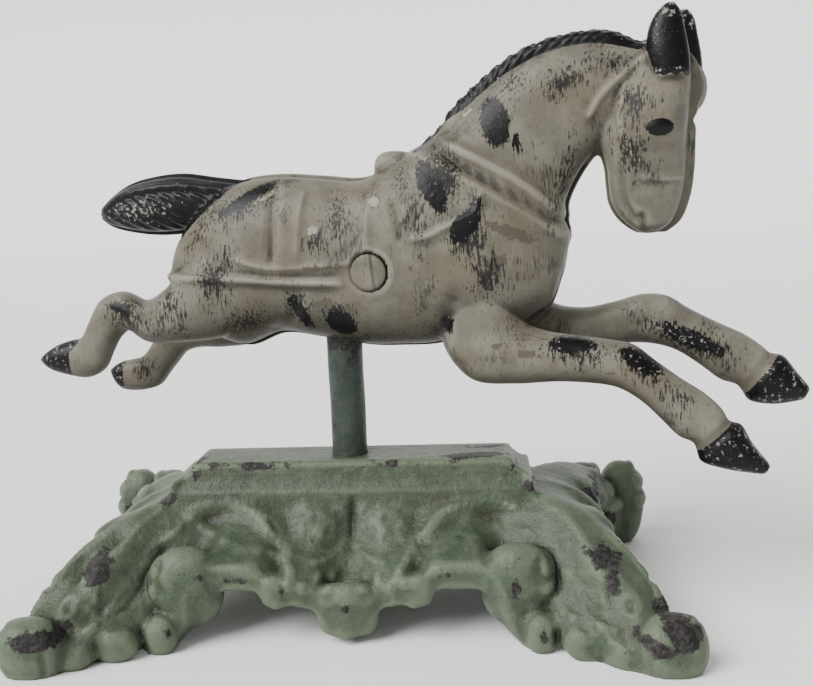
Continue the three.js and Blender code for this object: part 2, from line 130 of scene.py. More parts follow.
# One broad lamp from the upper left, softened by a white room.
LAMP = {"strength": 4.8, "spread": 40, "from": (-0.8, -0.62, 0.85)}
lamp = bpy.data.objects.new("studio_lamp", bpy.data.lights.new("studio_lamp", "SUN"))
lamp.data.energy = LAMP["strength"]
lamp.data.angle = math.radians(LAMP["spread"])
lamp.rotation_euler = (-Vector(LAMP["from"])).to_track_quat("-Z", "Y").to_euler()
bpy.context.scene.collection.objects.link(lamp)
world = bpy.data.worlds.new("studio")
bpy.context.scene.world = world
world.use_nodes = True
tree = world.node_tree
tree.nodes.clear()
backdrop = add_node(tree, "Background", {"Color": linear("#ffffff"), "Strength": 0.5})
add_node(tree, "OutputWorld", {"Surface": backdrop})

# ---- Horse -------------------------------------------------------------------
# Two sand-cast iron halves that meet on the horse's centre plane, held by one
# screw. Each has one flank, one foreleg, one hind leg and one ear, and the left
# one stands a little proud of the joint.

# Sizes are millimetres in the horse's own frame: nose towards +X, the rod's
# axis at x = y = 0, heights over the table.

HORSE_TURN = math.radians(-10)
HORSE_PLACE = Matrix.Translation(rod_axis) @ Matrix.Rotation(HORSE_TURN, 4, "Z") @ Matrix.Scale(MM, 4)
HALF_GAP = 0.15
CARVED_BEYOND = 1.5
LEFT_LIP = 1.2
FACE_STEP = 1.8
EAR_STEP = 4.5
MANE_LOCKS = 13
CASTING_VOXEL, CASTING_ROUNDING = 0.7, 5
# Rounded lumps: centre and half sizes.
POMMEL = ((21, 0, 153.2), (6.4, 8, 6.6))
FORELOCK = ((116, 4, 174.5), (5.6, 6, 8))

# Sections from rump to chest: upper x, upper z, lower x, lower z, half width.
TRUNK = [
    (-61, 127, -62.5, 119, 5), (-55, 136, -60, 108, 13), (-46, 145.5, -49, 99, 17.5),
    (-34, 151.5, -36, 94.5, 20), (-20, 152.8, -22, 99, 20), (-5, 151.6, -8, 97.5, 19.5),
    (11, 150.6, 10, 94.6, 20.5), (24, 157, 22, 94.5, 21.5), (36, 162, 33, 95, 21.5),
    (50, 158, 47, 98, 20.5), (64, 149, 62, 101, 17.5), (75, 138, 72, 107, 12), (79, 131.5, 77, 119, 6),
]
NECK = [
    (26, 156, 66, 112, 17), (38, 164, 76, 133, 15.5), (47, 172.5, 78.5, 142.5, 13),
    (60, 182.5, 83, 151, 11.5), (75, 189.5, 88.5, 157.5, 10.5), (90, 190.5, 93, 160, 10),
    (101, 188.5, 99, 164, 8),
]
HEAD = [
    (100, 189.3, 84, 168, 6), (110, 187, 87.5, 160, 10.5), (116, 180.5, 89.5, 155.5, 12.5),
    (116, 170, 90.8, 151, 12.8), (115.3, 159, 91.3, 146, 11.5), (115, 149.5, 92.2, 140, 9.6),
    (113.8, 141, 95, 135, 9), (110.8, 133.5, 99, 131.4, 7.6), (106.5, 130, 101.5, 129.9, 3.5),
]
TAIL = [
    (-32, 151, -38, 136, 6), (-45, 152.8, -49, 136.5, 7.5), (-57, 154.6, -59, 135.2, 8.5),
    (-68, 154.1, -69, 135, 8.5), (-79, 151.7, -79, 136.2, 7), (-87, 147.2, -87, 138.2, 4.5),
    (-91.8, 143.2, -91.8, 141.2, 1.2),
]
# Legs have one more value, the centre's distance from the joint's plane, before the half width.
RIGHT_FORELEG = [
    (54, 120, 36, 98.5, 8, 9), (60, 109, 41, 90, 10.5, 9.5), (65, 103, 48.5, 83.9, 12, 9.2),
    (72, 100.3, 62, 83.2, 13, 8.3), (82, 98.8, 76, 84, 13, 7.2), (92, 97.5, 89.5, 83.3, 13, 6.8),
    (99, 96, 95, 82, 13, 6.8), (106, 90.8, 101.5, 78, 13, 6), (114, 85, 107.5, 72.3, 13, 5.3),
    (121, 80.4, 113, 66.8, 13, 5.3), (126, 75.5, 117.2, 65, 13, 5.9), (128.2, 71.8, 118.5, 61.8, 13, 5.4),
    (131.5, 70.9, 119.4, 59.2, 13, 6.6), (135, 65, 127, 56.8, 13, 6), (140.3, 58.2, 138, 55.4, 13, 3.4),
]
LEFT_FORELEG = [
    (60, 122, 44, 98, 9, 9), (70, 107, 60, 91.5, 11, 9.5), (81, 104, 76, 90.5, 12.5, 8.3),
    (92, 105.8, 90, 92.2, 12.5, 7.2), (102, 108.4, 100, 93.1, 12.5, 6.8),
    (109.5, 107.8, 107.5, 92.3, 12.5, 6.8), (117, 103.3, 113.5, 90.2, 12.5, 6),
    (126, 98.6, 120.5, 85.6, 12.5, 5.3), (134, 94.8, 127.5, 80.4, 12.5, 5.3),
    (139.5, 91, 132.5, 78.8, 12.5, 5.9), (142.3, 88.5, 134.6, 76, 12.5, 5.4),
    (146.3, 87.6, 136.3, 73.6, 12.5, 6.6), (150.5, 82.4, 144, 72.4, 12.5, 6),
    (154.8, 77, 153, 73.9, 12.5, 3.4),
]
RIGHT_HIND_LEG = [
    (-34, 140, -20, 108, 9, 9), (-48, 128, -40, 98.5, 11, 11), (-60, 116, -55, 97, 12.5, 9.5),
    (-69, 111.8, -68, 96.8, 12.5, 7.2), (-78, 115, -76, 101, 12.5, 6.4), (-86, 112.4, -81, 98, 12.5, 6.2),
    (-92, 104, -84.5, 92.5, 12.5, 5.3), (-95.8, 98.5, -88, 86.6, 12.5, 5.1),
    (-101, 97.3, -94, 83.7, 12.5, 5.6), (-106, 95.7, -101, 84.4, 12.5, 5.4),
    (-110.4, 93.2, -107.5, 86.2, 12.5, 4.8), (-113.5, 90.8, -112, 89, 12.5, 2.4),
]
LEFT_HIND_LEG = [
    (-34, 138, -20, 104, 9, 9), (-46, 122, -38, 93, 11, 10.5), (-56, 110, -51, 91, 12, 9),
    (-63, 104, -61, 90.8, 12, 7.2), (-70, 104, -67.5, 89, 12, 6.4), (-77, 99, -71.5, 85, 12, 6.2),
    (-81.5, 92, -75.5, 80.5, 12, 5.3), (-86, 87.3, -79.5, 76, 12, 5.1), (-91, 86, -84.5, 74.3, 12, 5.6),
    (-95.5, 85, -90.5, 73.7, 12, 5.4), (-98.5, 83.4, -95, 74.5, 12, 4.8),
    (-100.6, 81.8, -98.5, 79.6, 12, 2.4),
]
RIGHT_EAR = [
    (116, 177.5, 105.5, 176.5, 9, 4.2), (115.6, 184, 103.2, 184.5, 8.6, 4.2),
    (114.4, 190.5, 103.4, 191, 8, 3.5), (113.2, 196, 106, 196.4, 7.6, 2.3),
    (111.3, 199, 108.8, 199, 7.4, 0.9),
]
MANE = [
    (35, 163.5, 42, 159, 7), (41.5, 172.5, 49, 166, 6.5), (48.8, 179, 55, 173, 6),
    (56, 184.5, 61, 178.5, 6), (65.5, 189.8, 68.5, 183.5, 6), (80, 193.2, 80.5, 186.5, 6),
    (92, 193, 91, 186.5, 6), (101, 188.8, 98, 184.5, 4),
]


def curve_through(points, count):
    """Evenly stepped points on a centripetal curve through the given ones."""
    p = np.asarray(points, float)
    p = np.vstack([2 * p[0] - p[1], p, 2 * p[-1] - p[-2]])
    knot = np.maximum(np.linalg.norm(np.diff(p, axis=0), axis=1), 1e-6) ** 0.5
    out = []
    for t in np.linspace(0, len(p) - 3, count):
        i = min(int(t), len(p) - 4)
        w = t - i
        d0, d1, d2 = knot[i:i + 3]
        a, b, c, d = p[i:i + 4]
        m1 = ((b - a) / d0 - (c - a) / (d0 + d1) + (c - b) / d1) * d1
        m2 = ((c - b) / d1 - (d - b) / (d1 + d2) + (d - c) / d2) * d1
        cubic, square = 2 * b - 2 * c + m1 + m2, -3 * b + 3 * c - 2 * m1 - m2
        out.append(cubic * w ** 3 + square * w ** 2 + m1 * w + b)
    return np.array(out)


def closed_skin(rings):
    """Vertices and faces of a closed skin over rings of equal length."""
    count, sides = rings.shape[:2]
    faces = []
    for k in range(count - 1):
        for i in range(sides):
            j = (i + 1) % sides
            faces.append((k * sides + i, k * sides + j, (k + 1) * sides + j, (k + 1) * sides + i))
    tips = len(rings) * sides
    faces += [(tips, (i + 1) % sides, i) for i in range(sides)]
    last = (count - 1) * sides
    faces += [(tips + 1, last + i, last + (i + 1) % sides) for i in range(sides)]
    return np.vstack([rings.reshape(-1, 3), rings[0].mean(0), rings[-1].mean(0)]), faces


def limb(stations, side, steps=8, sides=36, squareness=2.3, lip=0.0, locks=0):
    """A loft through stations, with superellipse sections."""
    s = np.array(stations, float)
    count = (len(s) - 1) * steps + 1
    upper = curve_through(s[:, 0:2], count)
    lower = curve_through(s[:, 2:4], count)
    leg = s.shape[1] == 6
    offset = s[:, 4] * side if leg else 0 * s[:, 4]
    across = curve_through(np.column_stack([np.arange(len(s)), offset, s[:, -1]]), count)
    angle = (np.arange(sides) + 0.5) * 2 * math.pi / sides
    power = 2 / squareness
    wide = np.sign(np.sin(angle)) * np.abs(np.sin(angle)) ** power
    tall = np.sign(np.cos(angle)) * np.abs(np.cos(angle)) ** power
    rings = np.zeros((count, sides, 3))
    for k in range(count):
        middle = (upper[k] + lower[k]) / 2
        reach = (upper[k] - lower[k]) / 2
        length = max(np.linalg.norm(reach), 0.05)
        grown = np.full(sides, lip)
        if locks:
            phase = locks * k / (count - 1) + 0.3 * np.sin(angle) ** 2
            grown = grown + (1.7 - 1.6 * k / (count - 1)) * (np.abs(np.sin(math.pi * phase)) ** 0.7 - 0.75)
        stretch = 1 + grown / length
        rings[k, :, 0] = middle[0] + reach[0] * tall * stretch
        rings[k, :, 2] = middle[1] + reach[1] * tall * stretch
        rings[k, :, 1] = across[k, 1] + wide * across[k, 2]
    return closed_skin(rings)


def egg(centre, radii, around=28, down=18, boxy=1.0):
    """An ellipsoid, with squarer shoulders the further boxy is under 1."""
    angle = np.arange(around) * 2 * math.pi / around
    fall = (np.arange(down) + 0.5) * math.pi / down
    ring = np.array([[(math.sin(f) * math.cos(a), math.sin(f) * math.sin(a), math.cos(f)) for a in angle]
                     for f in fall])
    ring = np.sign(ring) * np.abs(ring) ** boxy
    return closed_skin(ring * np.array(radii) + np.array(centre))


def face_outward(mesh):
    body = bmesh.new()
    body.from_mesh(mesh)
    bmesh.ops.recalc_face_normals(body, faces=body.faces)
    body.to_mesh(mesh)
    body.free()


def cast(name, shells, voxel, rounding):
    """One casting over overlapping closed skins, with its creases softened as a mould leaves them."""
    vertices, faces, start = [], [], 0
    for v, f in shells:
        vertices.append(v)
        faces += [tuple(i + start for i in face) for face in f]
        start += len(v)
    rough = new_object(name, np.vstack(vertices), faces)
    face_outward(rough.data)
    remesh = rough.modifiers.new("remesh", "REMESH")
    remesh.mode = "VOXEL"
    remesh.voxel_size = voxel
    smooth = rough.modifiers.new("smooth", "SMOOTH")
    smooth.factor = 0.5
    smooth.iterations = rounding
    ready = bpy.data.meshes.new_from_object(rough.evaluated_get(bpy.context.evaluated_depsgraph_get()))
    old = rough.data
    rough.modifiers.clear()
    rough.data = ready
    bpy.data.meshes.remove(old)
    return rough


def read_points(mesh):
    points = np.empty(len(mesh.vertices) * 3)
    normals = np.empty(len(mesh.vertices) * 3)
    mesh.vertices.foreach_get("co", points)
    mesh.vertex_normals.foreach_get("vector", normals)
    return points.reshape(-1, 3), normals.reshape(-1, 3)


def write_points(mesh, points):
    mesh.vertices.foreach_set("co", points.astype(np.float32).ravel())
    mesh.update()


def bump(d, width):
    return np.exp(-(d / width) ** 2)


def ramp(t, low, high):
    w = np.clip((t - low) / (high - low), 0, 1)
    return w * w * (3 - 2 * w)


def from_path(x, z, path, count=60):
    """Distance from a curve on the flank, the share of its length, and the side on which a point lies."""
    line = curve_through(path, count)
    nearest = np.full(len(x), 1e9)
    along = np.zeros(len(x))
    signed = np.zeros(len(x))
    for k in range(len(line) - 1):
        a, b = line[k], line[k + 1]
        d = b - a
        t = np.clip(((x - a[0]) * d[0] + (z - a[1]) * d[1]) / (d @ d), 0, 1)
        dx, dz = x - a[0] - t * d[0], z - a[1] - t * d[1]
        gap = np.hypot(dx, dz)
        closer = gap < nearest
        nearest = np.where(closer, gap, nearest)
        along = np.where(closer, (k + t) / (len(line) - 1), along)
        signed = np.where(closer, np.sign(d[0] * dz - d[1] * dx) * gap, signed)
    return nearest, along, signed


# Carving on both flanks, as curves of x and z: harness, mane line and folds.
COLLAR_UPPER = [(31, 164), (37.1, 161.8), (45, 158.3), (59, 150.9), (68.2, 144.4), (78, 135.4)]
COLLAR_LOWER = [(28, 158), (36, 155.6), (45, 150), (54, 144.9), (65.1, 138.4), (72.7, 133.2), (78, 129.6)]
PLATE_EDGE = [(31, 131), (36, 131.8), (43.2, 135.1), (51.3, 138.8), (52.4, 144)]
BREECHING = [(-62, 119.5), (-53, 119.8), (-30, 118.9), (-12, 117.6), (6, 117.1)]
BREECHING_UPPER = [(-30, 125.6), (-22, 123.2), (-14.6, 122.4), (8, 123.4)]
GIRTH = [(17.5, 151), (16.8, 140), (15.8, 130)]
CLOTH_EDGE = [(-18.5, 149), (-17, 143.5), (-18, 125.4)]
CLOTH_FOLD = [(-7.4, 147), (-7.7, 142), (-8.8, 127)]
SHOULDER_FOLD = [(24, 143), (25.5, 138.8), (26.8, 130.5)]
MANE_LINE = [
    (33.5, 160.5), (36.5, 163.5), (40.2, 168), (46.7, 171.8), (51.5, 175.6), (59.9, 181.6), (69.8, 186.2),
    (80.4, 188.6), (88, 188.8), (100, 186.2),
]
THROAT_LATCH = [(103, 184), (96, 178.5), (89.4, 172.3), (85.5, 166)]
MOUTH = [(101.5, 136), (102.3, 131)]
JAW_GROOVE = [(95, 150), (96.5, 140), (100, 134)]
NOSE_BAND = [(116, 147.0), (109, 146.6), (102, 147.2)]
CHEEK_STRAP = [(97, 176), (95.2, 166), (97, 158), (101, 151)]
TAIL_RIDGE = [
    (-84, 146.4), (-81.3, 148), (-76.3, 149.6), (-66.3, 151), (-54.7, 151.3), (-43.4, 150), (-34, 148.2),
]
ELBOW_FOLD = [(44, 112), (40, 105), (38.5, 99)]
STIFLE_FOLD = [(-10, 113), (-14, 105), (-24, 99)]
EYE = (107.0, 162.2)
# From one groove to the next, in mm: the collar's stitches, the tail's hair and the mane's twist.
STITCH_PITCH, COMB_PITCH, TWIST_PITCH = 4.5, 2.9, 3.4


def horse_relief(points, side):
    """Height of the carving over the plain form, in millimetres."""
    x, y, z = points.T
    flank = ramp(np.abs(y), 2, 8)
    height = np.zeros(len(x))

    def roll(path, width, tall, fade=0.06):
        near, along, _ = from_path(x, z, path)
        ends = ramp(along, -fade, fade) * (1 - ramp(along, 1 - fade, 1 + fade))
        return tall * bump(near, width) * ends

    body = z > 112
    height += body * (roll(COLLAR_UPPER, 2.2, 1.5) + roll(COLLAR_LOWER, 2.0, 1.3))
    # The collar's two rolls are stitched along the groove between them.
    near, along, across = from_path(x, z, COLLAR_LOWER)
    stitched = np.sin(2 * math.pi * (along * 60 + across) / STITCH_PITCH)
    stitch_ends = ramp(along, 0.05, 0.15) * (1 - ramp(along, 0.9, 1))
    height += body * 0.12 * stitched * bump(across - 4.0, 2.0) * stitch_ends
    height += flank * roll(PLATE_EDGE, 1.3, 1.1)
    height += flank * roll(BREECHING, 1.5, 1.4) + flank * roll(BREECHING_UPPER, 1.2, 0.8)
    height += flank * (roll(GIRTH, 2.2, 0.5) - roll(CLOTH_EDGE, 2.2, 0.9) + roll(CLOTH_FOLD, 1.4, 0.5))
    height -= flank * roll(SHOULDER_FOLD, 1.5, 0.8)
    height -= flank * (roll(ELBOW_FOLD, 2.6, 1.1) + roll(STIFLE_FOLD, 2.6, 0.9))
    head = (x > 80) & (z > 128)
    height += head * flank * (roll(THROAT_LATCH, 1.2, 0.9) + roll(CHEEK_STRAP, 1.2, 0.7))
    height += head * flank * (roll(NOSE_BAND, 0.9, 0.55))
    height -= head * flank * (roll(MOUTH, 0.9, 1.1) + roll(JAW_GROOVE, 1.2, 0.7))
    eye = np.hypot((x - EYE[0]) / 4.4, (z - EYE[1]) / 2.7)
    under_eye = bump(z - 155.5, 2.4) * bump(x - 108, 8)
    height += head * flank * (0.7 * (eye < 1) * (1 - eye ** 2) - 0.5 * under_eye)
    # The saddle cloth stands a little proud.
    height += flank * 0.5 * ramp(x, -18, -16) * (1 - ramp(x, 15, 18)) * ramp(z, 122, 125)
    # Combed hair on the tail and the mane's locks.
    tail_near, _, tail_side = from_path(x, z, TAIL_RIDGE)
    tail = ramp(-0.63 * (x + 33) + 0.775 * (z - 150), 0, 2) * (z > 130)
    combed = np.sin(2 * math.pi * (z * 0.86 + x * 0.5) / COMB_PITCH)
    ridge = 0.7 * bump(tail_near, 1.0) - 0.6 * bump(tail_side + 2.2, 1.0)
    height += tail * flank * (0.35 * combed * (tail_side < -0.8) + ridge)
    _, mane_along, mane_side = from_path(x, z, MANE_LINE)
    mane = ramp(mane_side, 0, 1.2) * (x > 33) * (x < 101)
    twist = np.sin(2 * math.pi * (mane_along * 84 - 1.4 * mane_side) / TWIST_PITCH)
    height += mane * (0.35 - 0.25 * mane_along) * twist
    # The joint: the right half's edge is rounded off, the left half's less.
    height -= (1.1 if side < 0 else 0.4) * bump(y, 1.5 if side < 0 else 0.8)
    # A notch under the forelock, on the left half alone.
    height -= head * (side > 0) * 1.0 * bump(z - 164.5, 1.6) * ramp(x, 112, 115)
    return height


def set_attribute(mesh, name, values):
    attribute = mesh.attributes.new(name, "FLOAT", "POINT")
    attribute.data.foreach_set("value", values.astype(np.float32))


def neighbours_mean(mesh, values, rounds=1):
    """Each vertex's value averaged with its neighbours', some rounds of it."""
    edges = np.empty(len(mesh.edges) * 2, np.int32)
    mesh.edges.foreach_get("vertices", edges)
    a, b = edges[0::2], edges[1::2]
    count = np.bincount(a, minlength=len(values)) + np.bincount(b, minlength=len(values))
    for _ in range(rounds):
        if values.ndim == 1:
            total = np.bincount(a, values[b], len(values)) + np.bincount(b, values[a], len(values))
            values = total / np.maximum(count, 1)
        else:
            values = np.column_stack([
                (np.bincount(a, values[b, k], len(values)) + np.bincount(b, values[a, k], len(values)))
                / np.maximum(count, 1) for k in range(values.shape[1])])
    return values


def hollowness(mesh):
    """How far each point lies in a hollow, in millimetres over a few millimetres' reach."""
    points, normals = read_points(mesh)
    away = neighbours_mean(mesh, points, 6) - points
    return neighbours_mean(mesh, (away * normals).sum(1), 2)


# Black marks brushed on the right flank: x, z, half length, half height, turn in degrees.
RIGHT_MARKS = [
    (56.8, 166.5, 4.3, 7.8, 12), (63.7, 159.8, 1.1, 2.3, 10), (37.2, 147.3, 3.3, 9.0, 27),
    (48.3, 134.8, 3.6, 6.0, -38), (51.6, 141.2, 1.6, 2.6, 0), (4.3, 103.6, 5.3, 4.2, -20),
    (-9.8, 107.6, 2.4, 6.2, 25), (-27.5, 145.5, 11.0, 2.1, 31), (40.5, 103.0, 1.9, 2.6, 0),
    (69.0, 104.6, 3.2, 1.5, 35), (80.5, 96.6, 6.6, 2.3, -4), (101.5, 91.2, 6.8, 2.8, -32),
    (-75.5, 109.6, 5.0, 1.8, -16),
]
# Dry-brushed marks, where the black broke up into strokes.
RIGHT_STROKES = [
    (48.5, 130.5, 6.5, 6.5, 0), (5.2, 138.7, 3.6, 6.5, 0), (-1.5, 131.5, 4.0, 3.4, 0),
    (-39.0, 118.5, 5.2, 7.6, 0), (-27.0, 142.6, 11.0, 3.6, 31), (-72.5, 107.0, 8.4, 4.8, -10),
    (-60.4, 103.2, 3.0, 3.6, 0), (-52.3, 108.0, 2.2, 6.5, 0), (-34.0, 124.5, 3.2, 4.2, 0),
    (79.0, 178.0, 7.5, 4.5, 20), (78.5, 150.0, 2.6, 8.5, -15), (98.5, 155.5, 4.5, 7.5, 20),
    (28.0, 147.0, 2.2, 9.0, 10), (33.5, 137.0, 1.8, 8.0, 0), (-10.0, 109.0, 4.5, 5.5, 0),
    (4.0, 106.0, 6.0, 5.5, 0), (101.0, 90.5, 8.0, 4.4, -32), (82.0, 94.0, 8.5, 4.0, -4),
    (62.0, 178.0, 4.0, 3.0, 30), (100.0, 170.0, 5.0, 5.0, 0), (112.0, 80.0, 5.0, 3.0, -40),
    (10.0, 97.0, 16.0, 3.0, 0), (40.0, 150.0, 7.0, 9.0, 20), (-30.0, 104.0, 8.0, 4.0, 20),
    (-56.0, 112.0, 3.0, 6.0, 0), (54.5, 119.0, 5.0, 7.0, 0), (-44.0, 137.0, 2.0, 9.0, -28),
    (93.0, 182.0, 6.0, 3.0, -10),
]
LEFT_MARKS = [
    (60.0, 164.0, 5.0, 6.5, -15), (34.0, 143.0, 5.0, 8.0, 20), (0.0, 108.0, 6.0, 4.5, 10),
    (-30.0, 139.0, 9.0, 3.0, -30), (117.5, 94.6, 12.0, 2.6, -25), (-68.0, 97.5, 4.5, 2.2, 10),
    (20.0, 132.0, 4.0, 5.5, 0),
]
LEFT_STROKES = [
    (30.0, 132.0, 6.0, 7.0, 0), (-4.0, 136.0, 5.0, 7.0, 0), (-40.0, 120.0, 5.0, 7.0, 0),
    (79.0, 176.0, 7.0, 5.0, 20), (98.0, 156.0, 5.0, 7.0, 10), (116.0, 94.0, 14.0, 4.5, -25),
    (50.0, 122.0, 6.0, 6.0, 0), (-30.0, 135.0, 9.0, 5.0, -30), (0.0, 110.0, 8.0, 6.0, 0),
    (-84.0, 84.0, 4.0, 5.0, 0),
]
# Chips that show the grey primer.
CHIPS = [
    (55.5, 162.6, 2.6, 1.4, 0), (58.8, 123.8, 2.3, 2.2, 0), (57.7, 119.8, 1.0, 1.0, 0),
    (57.0, 96.4, 2.8, 1.2, 25), (66.5, 94.4, 5.5, 1.7, -12), (59.5, 92.5, 1.2, 1.4, 0),
    (-32.7, 130.1, 0.9, 0.8, 0), (-23.9, 127.9, 1.6, 0.8, -10), (-3.5, 122.0, 4.5, 1.6, 10),
    (-34.0, 125.0, 1.2, 1.6, 0), (-13.0, 139.5, 1.6, 3.4, 10), (36.5, 154.5, 2.2, 2.6, 0),
    (62.5, 132.0, 8.5, 2.2, -22), (-1.0, 110.5, 5.0, 1.8, 5), (8.0, 108.0, 3.5, 1.5, 10),
    (92.0, 88.0, 2.4, 1.0, 0),
]


# Cleaner, brighter enamel where dirt has flaked off.
FRESH = [
    (17.8, 143.2, 2.8, 2.4, -30), (-3.0, 134.8, 2.6, 2.2, 0), (-20.0, 146.5, 6.0, 1.6, 31),
    (47.0, 170.0, 3.0, 1.4, 40),
]
# Brown stains: under the eye, at the ear's foot, at the mouth and on the legs.
STAINS = [
    (107.5, 157.0, 4.5, 1.3, 0), (104.8, 184.0, 1.4, 2.6, 20), (99.0, 132.8, 1.6, 1.0, 0),
    (95.5, 158.5, 1.4, 2.6, 25), (116.0, 63.5, 1.6, 3.6, 40), (133.5, 79.5, 1.5, 2.2, 30),
    (-34.5, 149.0, 3.0, 1.6, 30), (74.0, 108.0, 5.0, 1.2, 10),
]


# What a place far outside every mark counts as, in millimetres inside an edge.
FAR_OUT = -20.0


def marks_field(x, z, marks):
    """Millimetres inside the nearest mark's edge, negative outside."""
    field = np.full(len(x), FAR_OUT)
    for mx, mz, long, tall, turn in marks:
        c, s = math.cos(math.radians(turn)), math.sin(math.radians(turn))
        u = ((x - mx) * c + (z - mz) * s) / long
        v = (-(x - mx) * s + (z - mz) * c) / tall
        field = np.maximum(field, (1 - np.hypot(u, v)) * min(long, tall))
    return field


# Straight edges of the black: a point on each, and which way the black lies.
TAIL_PAINT = ((-35.5, 149.3), (-0.66, 0.75))
RIGHT_HOOF_PAINT = ((118.4, 62.8), (0.66, -0.75))
RIGHT_SOLE_PAINT = ((-94.5, 98.0), (-0.75, 0.66))
LEFT_HOOF_PAINT = ((134.7, 75.8), (0.79, -0.62))


def beyond(x, z, point, towards):
    """Millimetres past a straight paint edge through point, in the direction towards."""
    length = math.hypot(*towards)
    return ((x - point[0]) * towards[0] + (z - point[1]) * towards[1]) / length


def painted_black(points, side):
    """Millimetres inside the edge of the black enamel: marks, mane, tail, ears, eyes and hooves."""
    x, y, z = points.T
    _, _, mane_side = from_path(x, z, MANE_LINE)
    mane = np.where((x > 30) & (x < 103) & (z > 158), np.minimum(mane_side, 102 - x), FAR_OUT)
    tail = np.where(z > 130, beyond(x, z, *TAIL_PAINT), FAR_OUT)
    ear_foot = 177.4 + 0.4 * np.sin(x * 1.9)
    ear_side = x - (105.8 - 0.36 * (z - 177.5)) - (EAR_STEP if side > 0 else 0)
    ear = np.where((np.abs(y) > 3.4) & (x > 101), np.minimum(z - ear_foot, ear_side), FAR_OUT)
    eye = (1 - np.hypot((x - EYE[0]) / 4.2, (z - EYE[1]) / 2.6)) * 2.6
    eye = np.where(np.abs(y) > 5, eye, FAR_OUT)
    if side < 0:
        hooves = np.where(x > 105, beyond(x, z, *RIGHT_HOOF_PAINT), FAR_OUT)
        hind = np.where(x < -85, -98.5 - x, FAR_OUT)
        sole = np.minimum(beyond(x, z, *RIGHT_SOLE_PAINT), -96 - x)
        sole = np.where((x < -92) & (z > 94), sole, FAR_OUT)
        marks, strokes = RIGHT_MARKS, RIGHT_STROKES
    else:
        hooves = np.where(x > 120, beyond(x, z, *LEFT_HOOF_PAINT), FAR_OUT)
        hind = np.where(x < -85, -92.5 - x, FAR_OUT)
        sole = hind
        marks, strokes = LEFT_MARKS, LEFT_STROKES
    out = np.abs(y) > 2.5
    field = marks_field(x, z, marks)
    dry = marks_field(x, z, strokes)
    neat = np.maximum.reduce([mane, tail, ear, eye, hooves, hind, sole])
    return neat, np.where(out, field, FAR_OUT), np.where(out, dry, FAR_OUT)


def find_patterns(tree, measures, patterns, sums):
    """Sockets by name: measured attributes, noises of a real size in mm, and weighted sums of these."""
    place = add_node(tree, "TexCoord", {}, "Object")
    facing = add_node(tree, "NewGeometry", {}, "Normal")
    found = {"upward": add_node(tree, "SeparateXYZ", {0: facing}, "Z")}
    for key in measures:
        found[key] = add_node(tree, "Attribute", {}, "Fac", attribute_name=key)
    for key, (size, detail, rough, stretch) in patterns.items():
        stretched = [share / (size * MM) for share in stretch]
        at = add_node(tree, "VectorMath", {0: place, 1: stretched}, operation="MULTIPLY")
        noise = {"Vector": at, "Scale": 1.0, "Detail": detail, "Roughness": rough}
        found[key] = add_node(tree, "TexNoise", noise, "Fac")
    for key, parts in sums.items():
        total = 0.0
        for source, weight in parts:
            terms = {0: found[source], 1: weight, 2: total}
            total = add_node(tree, "Math", terms, operation="MULTIPLY_ADD")
        found[key] = total
    return found


def brush_coats(tree, found, ground, coats):
    """Coats and stains in turn: what each follows, where it starts and is full, its cover and colour."""
    colour = linear(ground)
    for source, start, full, cover, tone in coats:
        limits = {"Value": found[source], "From Min": start, "From Max": full, "To Max": cover}
        amount = add_node(tree, "MapRange", limits, interpolation_type="SMOOTHSTEP")
        colour = add_node(tree, "Mix", {0: amount, 6: colour, 7: linear(tone)}, 2, data_type="RGBA")
    return colour


# Oil enamel brushed over primer on sand-cast iron: soft gloss, dry black
# strokes, grime and painted shade in the hollows, painted highlights on raised
# edges, painted shade on downward faces and a painted sheen on the black's
# ridges, rubbed edges and chips down to the primer.
# Each noise: size in mm, detail, roughness, stretch along the axes.
EVEN, DOWN = (1, 1, 1), (1.1, 1.1, 0.2)
HORSE_PATTERNS = {
    "streaks": (0.75, 4.0, 0.65, DOWN), "fine": (0.8, 3.0, 0.6, EVEN), "coarse": (9.0, 3.0, 0.5, EVEN),
    "specks": (1.5, 3.0, 0.65, EVEN), "wide": (22.0, 3.0, 0.55, EVEN), "patches": (14.0, 2.0, 0.55, EVEN),
    "pits": (2.6, 4.0, 0.7, EVEN), "blotch": (1.8, 3.0, 0.55, EVEN), "sand": (3.0, 3.0, 0.55, EVEN),
}
HORSE_SUMS = {
    "grime_shade_and_sheen": (("hollow", 1.0), ("fine", 0.2)),
    "scuffs": (("patches", 1.2), ("streaks", 1.0)),
    "broken": (("dry", 0.08), ("streaks", 2.2), ("fine", 0.7)),
    "chipped": (("chip", 1.0), ("blotch", 3.6)),
    "cleaned": (("fresh", 1.0), ("blotch", 4.0)),
    "stained": (("stain", 1.0), ("blotch", 3.0)),
    "torn": (("black", 2.5), ("streaks", 12.0), ("fine", 4.0)),
    "edged": (("neat", 5.0), ("fine", 3.0)),
    "rubbed": (("rub", 0.16), ("specks", 1.0)),
    "joint": (("seam", 1.0), ("fine", 0.5)),
    "grain": (("fine", 0.5), ("sand", 0.9)),
}
